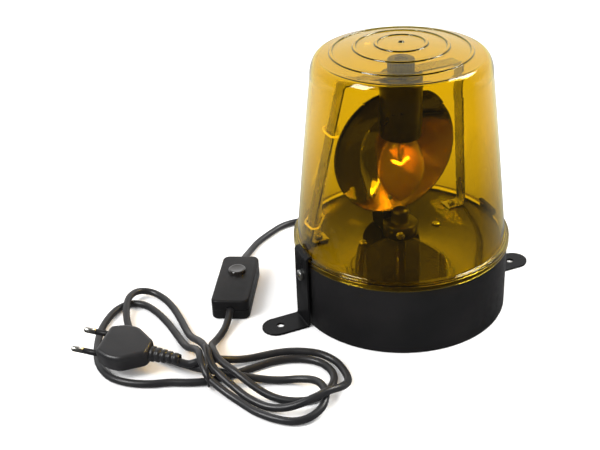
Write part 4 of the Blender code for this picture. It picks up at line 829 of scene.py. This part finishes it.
soften(lamp_frame, 0.2 * MM, 2, 40)

# ---- lamp holder and bulb --------------------------------------------------------------------
HOLDER_TOP, HOLDER_FOOT = 168.6 * MM, 125.6 * MM
skirt = [(13.2 * MM, HOLDER_TOP), (13.9 * MM, HOLDER_TOP - 0.3 * MM), (14.2 * MM, HOLDER_TOP - MM)]
skirt += [(14.2 * MM, 134.5 * MM), (13.7 * MM, 134.2 * MM), (13.7 * MM, HOLDER_FOOT + 0.4 * MM),
          (13.4 * MM, HOLDER_FOOT), (12.5 * MM, HOLDER_FOOT), (12.2 * MM, HOLDER_FOOT + 0.3 * MM),
          (12.2 * MM, 164.6 * MM), (0, 164.6 * MM)]
holder = put("holder_skirt", turned_mesh("holder_skirt", [
    (0, 177.6 * MM), (3.6 * MM, 177.6 * MM), (4.0 * MM, 177.2 * MM), (4.0 * MM, HOLDER_TOP)]
    + skirt, 96), phenolic, nodes=["lamp_holder"])
NUT_FOOT = 170.4 * MM
nut_outline = []
for k in range(144):
    turn = math.tau * k / 144
    radius = 9.0 * MM - 0.35 * MM * (0.5 + 0.5 * math.cos(24 * turn))
    nut_outline.append((radius * math.cos(turn), radius * math.sin(turn)))
nut = put("holder_ring_nut", prism_mesh("holder_ring_nut", nut_outline, NUT_FOOT,
                                        NUT_FOOT + 8.2 * MM), phenolic, nodes=["holder_nut"])
cut(nut, helper("nut_bore", rod_mesh("nut_bore", 4.15 * MM, (0, 0, NUT_FOOT - MM),
                                     (0, 0, NUT_FOOT + 10 * MM))))
soften(nut, 0.7 * MM, 3, 60)

BULB_R, NECK, BULB_LENGTH = 16.2 * MM, 131.0 * MM, 55.5 * MM
bulb_shape = ((0.42, 0.0), (0.44, 0.04), (0.48, 0.08), (0.55, 0.125), (0.64, 0.175), (0.74, 0.23),
              (0.84, 0.3), (0.925, 0.37), (0.98, 0.44), (1.0, 0.51), (0.985, 0.58),
              (0.93, 0.655), (0.84, 0.725), (0.72, 0.79), (0.58, 0.845), (0.44, 0.89),
              (0.3, 0.93), (0.17, 0.965), (0.07, 0.99))
glass_out = [(BULB_R * r, NECK - BULB_LENGTH * drop) for r, drop in bulb_shape]
glass_in = [(max(r - 0.8 * MM, 0.3 * MM), z + (0.5 * MM if drop > 0.7 else 0))
            for (r, z), (_, drop) in zip(glass_out, bulb_shape)]
tip = NECK - BULB_LENGTH
put("bulb_envelope", turned_mesh("bulb_envelope", glass_out + [(0, tip), (0, tip + 1.4 * MM)]
                                 + glass_in[::-1], 64), bulb_skin, nodes=["bulb_glass"])
hot = tip + 32 * MM
coil = []
for k in range(97):
    turn = math.tau * k / 8
    share = k / 96
    coil.append(Vector(((share - 0.5) * 13 * MM, 0.9 * MM * math.cos(turn),
                        hot - 3 * MM * math.sin(math.pi * share) ** 2 + 0.9 * MM * math.sin(turn))))
curve_piece("filament_coil", coil, 0.3 * MM, tungsten, nodes=["filament"])

# ---- lamp lead -------------------------------------------------------------------------------
LEAD_ROUTE = [(-12.6, 48, 41.3), (-22, 48, 41.3), (-43, 38.2, 37.3), (-49, 31.2, 40.3),
              (-51, 29.2, 48.8), (-51.2, 28.8, 54.8), (-52, 26, 64.8), (-50.4, 21.0, 90),
              (-45.2, 14.4, 130), (-41.2, 11.2, 155), (-38.3, 12.3, 165.5), (-30.3, 12.5, 164),
              (-21, 11.5, 161.1), (-6.8, 5.9, 160.1)]
lead = smooth_route([Vector(p) * MM for p in LEAD_ROUTE], 2.5 * MM)
curve_piece("lamp_lead_sleeve", lead, 3.0 * MM, sleeve, nodes=["lamp_lead"])


# ---- hand switch -----------------------------------------------------------------------------
SWITCH_PLACE = Matrix.Translation(Vector((-107.0, 52.2, 0)) * MM) @ Matrix.Rotation(
    math.radians(-118.8), 4, "Z")
SWITCH_LENGTH, SWITCH_WIDTH, SWITCH_HEIGHT = 63.0 * MM, 27.0 * MM, 15.0 * MM
SPLIT = 7.5 * MM
BUTTON_X, BUTTON_RADIUS = -9.0 * MM, 6.4 * MM


def rounded_plan(length, width, radius, steps=10):
    """A rectangle with rounded corners, centred on the origin."""
    outline = []
    for k, (sx, sy) in enumerate(((1, 1), (-1, 1), (-1, -1), (1, -1))):
        for j in range(steps + 1):
            turn = math.pi / 2 * (k + j / steps)
            outline.append((sx * (length / 2 - radius) + radius * math.cos(turn),
                            sy * (width / 2 - radius) + radius * math.sin(turn)))
    return outline


def stacked_mesh(name, rings):
    """A closed shape through flat outlines of equal count: (outline, height), low to high."""
    shape = bmesh.new()
    rows = [[shape.verts.new((x, y, z)) for x, y in outline] for outline, z in rings]
    shape.faces.new(rows[0][::-1])
    shape.faces.new(rows[-1])
    for lower, upper in zip(rows, rows[1:]):
        for k in range(len(lower)):
            n = (k + 1) % len(lower)
            shape.faces.new((lower[k], lower[n], upper[n], upper[k]))
    bmesh.ops.recalc_face_normals(shape, faces=shape.faces)
    return smooth_mesh(name, shape)


def switch_half(name, node, low, high, low_round, high_round):
    """Half of the switch case: rounded outside, hollow inside, open to the cord at both ends."""
    rings = []
    for k in range(7):
        turn = math.pi / 2 * k / 6
        inset = low_round * (1 - math.sin(turn))
        rings.append((rounded_plan(SWITCH_LENGTH - 2 * inset, SWITCH_WIDTH - 2 * inset,
                                   5 * MM - inset), low + low_round * (1 - math.cos(turn))))
    for k in range(7):
        turn = math.pi / 2 * k / 6
        inset = high_round * (1 - math.cos(turn))
        rings.append((rounded_plan(SWITCH_LENGTH - 2 * inset, SWITCH_WIDTH - 2 * inset,
                                   5 * MM - inset), high - high_round * (1 - math.sin(turn))))
    obj = put(name, stacked_mesh(name, rings), abs_satin, nodes=[node])
    floor, ceiling = 1.8 * MM, 13.2 * MM
    tools = [
        helper("room", block_mesh("room", (-19 * MM, -11.7 * MM, floor),
                                  (19 * MM, 11.7 * MM, ceiling))),
        helper("channel", block_mesh("channel", (-29.7 * MM, -4 * MM, floor),
                                     (29.7 * MM, 4 * MM, ceiling))),
        helper("cord_way", rod_mesh("cord_way", 2.8 * MM, (-40 * MM, 0, SPLIT),
                                    (40 * MM, 0, SPLIT), 32)),
        helper("drill", rod_mesh("drill", 1.3 * MM, (24 * MM, 8.6 * MM, -MM),
                                 (24 * MM, 8.6 * MM, 12.2 * MM), 24))]
    if low > MM:
        tools.append(helper("button_way", rod_mesh("button_way", BUTTON_RADIUS + 0.3 * MM,
                                                   (BUTTON_X, 0, 11 * MM),
                                                   (BUTTON_X, 0, 16 * MM), 64)))
    else:
        tools.append(helper("sink", rod_mesh("sink", 2.2 * MM, (24 * MM, 8.6 * MM, -MM),
                                             (24 * MM, 8.6 * MM, 1.3 * MM), 32)))
    cut(obj, *tools)
    obj.data.transform(SWITCH_PLACE)
    obj.data.shade_smooth()
    obj.data.set_sharp_from_angle(angle=math.radians(35))
    return obj


switch_low = switch_half("switch_case_lower", "switch_lower_shell", 0, SPLIT - 0.15 * MM,
                         1.2 * MM, 0.35 * MM)
switch_top = switch_half("switch_case_upper", "switch_upper_shell", SPLIT + 0.15 * MM,
                         SWITCH_HEIGHT, 0.35 * MM, 1.8 * MM)
cap = SWITCH_HEIGHT + 2.6 * MM
push = [(0, cap - 0.5 * MM), (3.6 * MM, cap - 0.35 * MM), (4.6 * MM, cap - 0.1 * MM),
        (5.2 * MM, cap), (5.7 * MM, cap - 0.1 * MM), (6.2 * MM, cap - 0.45 * MM),
        (BUTTON_RADIUS, cap - MM), (BUTTON_RADIUS, 12.9 * MM), (7.8 * MM, 12.9 * MM),
        (7.8 * MM, 11.4 * MM), (0, 11.4 * MM)]
button = put("switch_push_button", turned_mesh("switch_push_button", push, 64), abs_polished,
             "button", ["switch_button"])
button.data.transform(SWITCH_PLACE @ Matrix.Translation((BUTTON_X, 0, 0)))

# ---- plug ------------------------------------------------------------------------------------
PLUG_THICK = 13.0 * MM
PIN_RADIUS, PIN_LENGTH, PIN_SLEEVE = 2.0 * MM, 19.0 * MM, 10.0 * MM
PIN_HOLD = 9.0 * MM
PIN_Y = 9.3 * MM                    # half the space between the pins
PLUG_ROUND = 3.0 * MM


def plug_plan(inset):
    """The plug's plan: wide shoulders, a narrow front and a waisted rear, corners rounded."""
    half = ((0, 12.5), (-10.2, 16.5), (-19.0, 16.5), (-34.0, 6.5))
    corners = [Vector((x * MM, y * MM)) for x, y in half]
    corners += [Vector((x * MM, -y * MM)) for x, y in reversed(half)]
    middle = Vector((-17 * MM, 0))
    outline = []
    count = len(corners)
    for i, corner in enumerate(corners):
        before, after = corners[i - 1], corners[(i + 1) % count]
        size = 3.2 * MM
        first = corner + (before - corner).normalized() * size
        last = corner + (after - corner).normalized() * size
        for k in range(9):
            t = k / 8
            spot = first * (1 - t) ** 2 + corner * 2 * t * (1 - t) + last * t ** 2
            outline.append(spot)
    result = []
    count = len(outline)
    for i, spot in enumerate(outline):
        along = (outline[(i + 1) % count] - outline[i - 1]).normalized()
        inward = Vector((-along.y, along.x))
        if inward.dot(middle - spot) < 0:
            inward = -inward
        result.append(tuple(spot + inward * inset))
    return result


rings = []
for k in range(9):
    turn = math.pi / 2 * k / 8
    rings.append((plug_plan(PLUG_ROUND * (1 - math.sin(turn))),
                  -PLUG_THICK / 2 + PLUG_ROUND * (1 - math.cos(turn))))
for k in range(9):
    turn = math.pi / 2 * k / 8
    rings.append((plug_plan(PLUG_ROUND * (1 - math.cos(turn))),
                  PLUG_THICK / 2 - PLUG_ROUND * (1 - math.sin(turn))))
plug = put("plug_moulding", stacked_mesh("plug_moulding", rings), plug_pvc,
           nodes=["plug_body"])
cut(plug, *[helper(f"pin_hole_{k}", rod_mesh(f"pin_hole_{k}", PIN_RADIUS + 0.3 * MM,
                                             (-PIN_HOLD - 0.3 * MM, y, 0), (2 * MM, y, 0), 32))
            for k, y in enumerate((-PIN_Y, PIN_Y))])
plug.data.transform(PLUG_PLACE)
plug.data.shade_smooth()
plug.data.set_sharp_from_angle(angle=math.radians(40))
for k, y in enumerate((-PIN_Y, PIN_Y)):
    core = PIN_RADIUS - 0.7 * MM
    tip_round = [(PIN_RADIUS * math.sin(t) ** 0.8, PIN_LENGTH - 1.8 * MM * (1 - math.cos(t)))
                 for t in [math.pi / 2 * j / 8 for j in range(9)]]
    tip_round[0] = (0, PIN_LENGTH)
    pin = put(f"plug_prong_{k + 1}", turned_mesh(f"plug_prong_{k + 1}", tip_round + [
        (PIN_RADIUS, PIN_SLEEVE + 0.3 * MM), (core, PIN_SLEEVE + 0.3 * MM), (core, -PIN_HOLD),
        (0, -PIN_HOLD)], 40), zinc, nodes=[f"plug_pin_{k + 1}"])
    root = core + 0.3 * MM
    collar = put(f"prong_sleeve_{k + 1}", turned_mesh(f"prong_sleeve_{k + 1}", [
        (PIN_RADIUS - 0.1 * MM, PIN_SLEEVE), (PIN_RADIUS, PIN_SLEEVE - 0.1 * MM),
        (PIN_RADIUS, -PIN_HOLD + MM), (root, -PIN_HOLD + MM), (root, PIN_SLEEVE)], 40),
        abs_satin, nodes=[f"pin_sleeve_{k + 1}"])
    for piece in (pin, collar):
        piece.data.transform(PLUG_PLACE @ Matrix.Translation((0, y, 0))
                             @ Matrix.Rotation(math.pi / 2, 4, "Y"))
relief_side = ribbed_sleeve(5.2 * MM, 3.7 * MM, RELIEF_LENGTH, 5, PLUG_LENGTH + 0.3 * MM)
relief = put("plug_cord_relief", turned_mesh("plug_cord_relief", [
    (bore, PLUG_LENGTH + 0.3 * MM + RELIEF_LENGTH)] + relief_side[::-1]
    + [(bore, PLUG_LENGTH + 0.3 * MM)], 48), plug_pvc, nodes=["plug_relief"])
relief.data.transform(PLUG_PLACE @ Matrix.Rotation(-math.pi / 2, 4, "Y"))

# ---- wire tie round the hank -----------------------------------------------------------------
TIE_PLACE = Matrix.Translation(TIE_AT) @ Matrix.Rotation(TIE_TURN, 4, "Z")
tie_route = []
at_tie = [p.z for p in flex if abs((TIE_PLACE.inverted() @ p).x) < 3 * MM
          and abs((TIE_PLACE.inverted() @ p).y) < 14 * MM]
tie_high = max(at_tie) / MM + 2.6
for k in range(64):
    turn = math.tau * k / 64
    c, d = math.cos(turn), math.sin(turn)
    y = 14.4 * MM * math.copysign(abs(c) ** 0.6, c)
    z = (1 + 0.5 * tie_high) * MM + 0.5 * tie_high * MM * math.copysign(abs(d) ** 0.6, d)
    tie_route.append(TIE_PLACE @ Vector((0, y, z)))
tie = curve_piece("hank_wire_tie", tie_route, 0.8 * MM, plug_pvc, nodes=["cord_tie"],
                  closed=True)

# ---- finishes on the pieces that keep their CAD shape ----------------------------------------
KEPT = {
    "bottom_cover": abs_satin, "bottom_screw_1": zinc, "bottom_screw_2": zinc,
    "bottom_screw_3": zinc, "bracket_nut_left": zinc, "bracket_nut_right": zinc,
    "bulb_cap": brass, "bulb_stem": stem_glass, "drive_shaft": zinc, "gearbox": zinc,
    "holder_contact": brass, "holder_core": phenolic, "holder_shell": brass,
    "inner_lead": cord_pvc, "motor_can": zinc, "motor_lead": sleeve,
    "lead_tie_lower": nylon, "lead_tie_upper": nylon, "reflector_arm": enamel,
    "switch_contact": brass, "switch_screw": zinc, "switch_spring": zinc,
    "terminal_block": nylon}
for node, finish in KEPT.items():
    for held in bpy.data.objects[node].material_slots:
        held.material = finish

# ---- studio ----------------------------------------------------------------------------------
paper, paper_shader = finish_of("studio_paper", "fbfbfb", 0.8)
BEHIND = Vector((CAMERA_LOOK.x, CAMERA_LOOK.y, 0)).normalized()
# Painted reflection: to glossy rays the floor is a glow instead of lit paper, dim on the camera's
# side and bright behind the object, so shiny parts mirror a painted gradient
spot = add_node(paper, "ShaderNodeTexCoord")
depth = add_node(paper, "ShaderNodeVectorMath", {0: spot.outputs["Object"], 1: BEHIND},
                 operation="DOT_PRODUCT")
painted_floor_reflection = add_node(paper, "ShaderNodeMapRange", {
    "Value": depth.outputs["Value"], "From Min": -0.05, "From Max": 0.3, "To Min": 0.08,
    "To Max": 0.95})
glowing = add_node(paper, "ShaderNodeEmission", {"Strength": painted_floor_reflection.outputs["Result"]})
floor_ray = add_node(paper, "ShaderNodeLightPath")
floor_mix = add_node(paper, "ShaderNodeMixShader", {
    "Fac": floor_ray.outputs["Is Glossy Ray"], 1: paper_shader.outputs["BSDF"],
    2: glowing.outputs["Emission"]})
paper.node_tree.links.new(floor_mix.outputs["Shader"],
                          paper.node_tree.nodes["Material Output"].inputs["Surface"])
sheet = bpy.data.objects.new("studio_floor", block_mesh("studio_floor", (-6, -6, -0.02),
                                                        (6, 6, -0.0002)))
sheet.data.materials.append(paper)
scene.collection.objects.link(sheet)

world = bpy.data.worlds.new("studio")
scene.world = world
world.use_nodes = True
sky = world.node_tree.nodes["Background"]
sky.inputs["Color"].default_value = (1, 1, 1, 1)
ray_kind = add_node(world, "ShaderNodeLightPath")
toward = add_node(world, "ShaderNodeTexCoord")
along = add_node(world, "ShaderNodeVectorMath", {0: toward.outputs["Generated"], 1: BEHIND},
                 operation="DOT_PRODUCT")
mirrored = add_node(world, "ShaderNodeMapRange", {
    "Value": along.outputs["Value"], "From Min": -0.1, "From Max": 0.75, "To Min": 0.05,
    "To Max": 0.95})
strength = add_node(world, "ShaderNodeMapRange", {
    "Value": ray_kind.outputs["Is Glossy Ray"], "To Min": 1.15,
    "To Max": mirrored.outputs["Result"]})
world.node_tree.links.new(strength.outputs["Result"], sky.inputs["Strength"])


def softbox(name, place, target, width, height, power):
    lamp = bpy.data.lights.new(name, "AREA")
    lamp.shape = "RECTANGLE"
    lamp.size = width
    lamp.size_y = height
    lamp.energy = power
    obj = bpy.data.objects.new(name, lamp)
    place, target = Vector(place), Vector(target)
    obj.matrix_world = Matrix.Translation(place) @ (
        target - place).to_track_quat("-Z", "Y").to_matrix().to_4x4()
    scene.collection.objects.link(obj)
    return obj


softbox("left_softbox", (-1.0, -0.1, 0.95), (0, 0, 0.1), 0.45, 0.6, 12)
softbox("right_softbox", (0.85, -0.1, 1.0), (0, 0, 0.1), 0.45, 0.6, 12)
GLOW_AT = (0.399, -0.146, 0.483)


def side_glow(name, radius, power):
    """A warm ball of light, high on the right, whose image the bowl throws back low down."""
    lamp = bpy.data.lights.new(name, "POINT")
    lamp.shadow_soft_size = radius
    lamp.energy = power
    lamp.color = linear("fff0c0")[:3]
    obj = bpy.data.objects.new(name, lamp)
    obj.location = GLOW_AT
    obj.visible_camera = False
    scene.collection.objects.link(obj)


side_glow("glow_core", 30 * MM, 0.6)
side_glow("glow_middle", 60 * MM, 0.7)
side_glow("glow_halo", 100 * MM, 0.7)
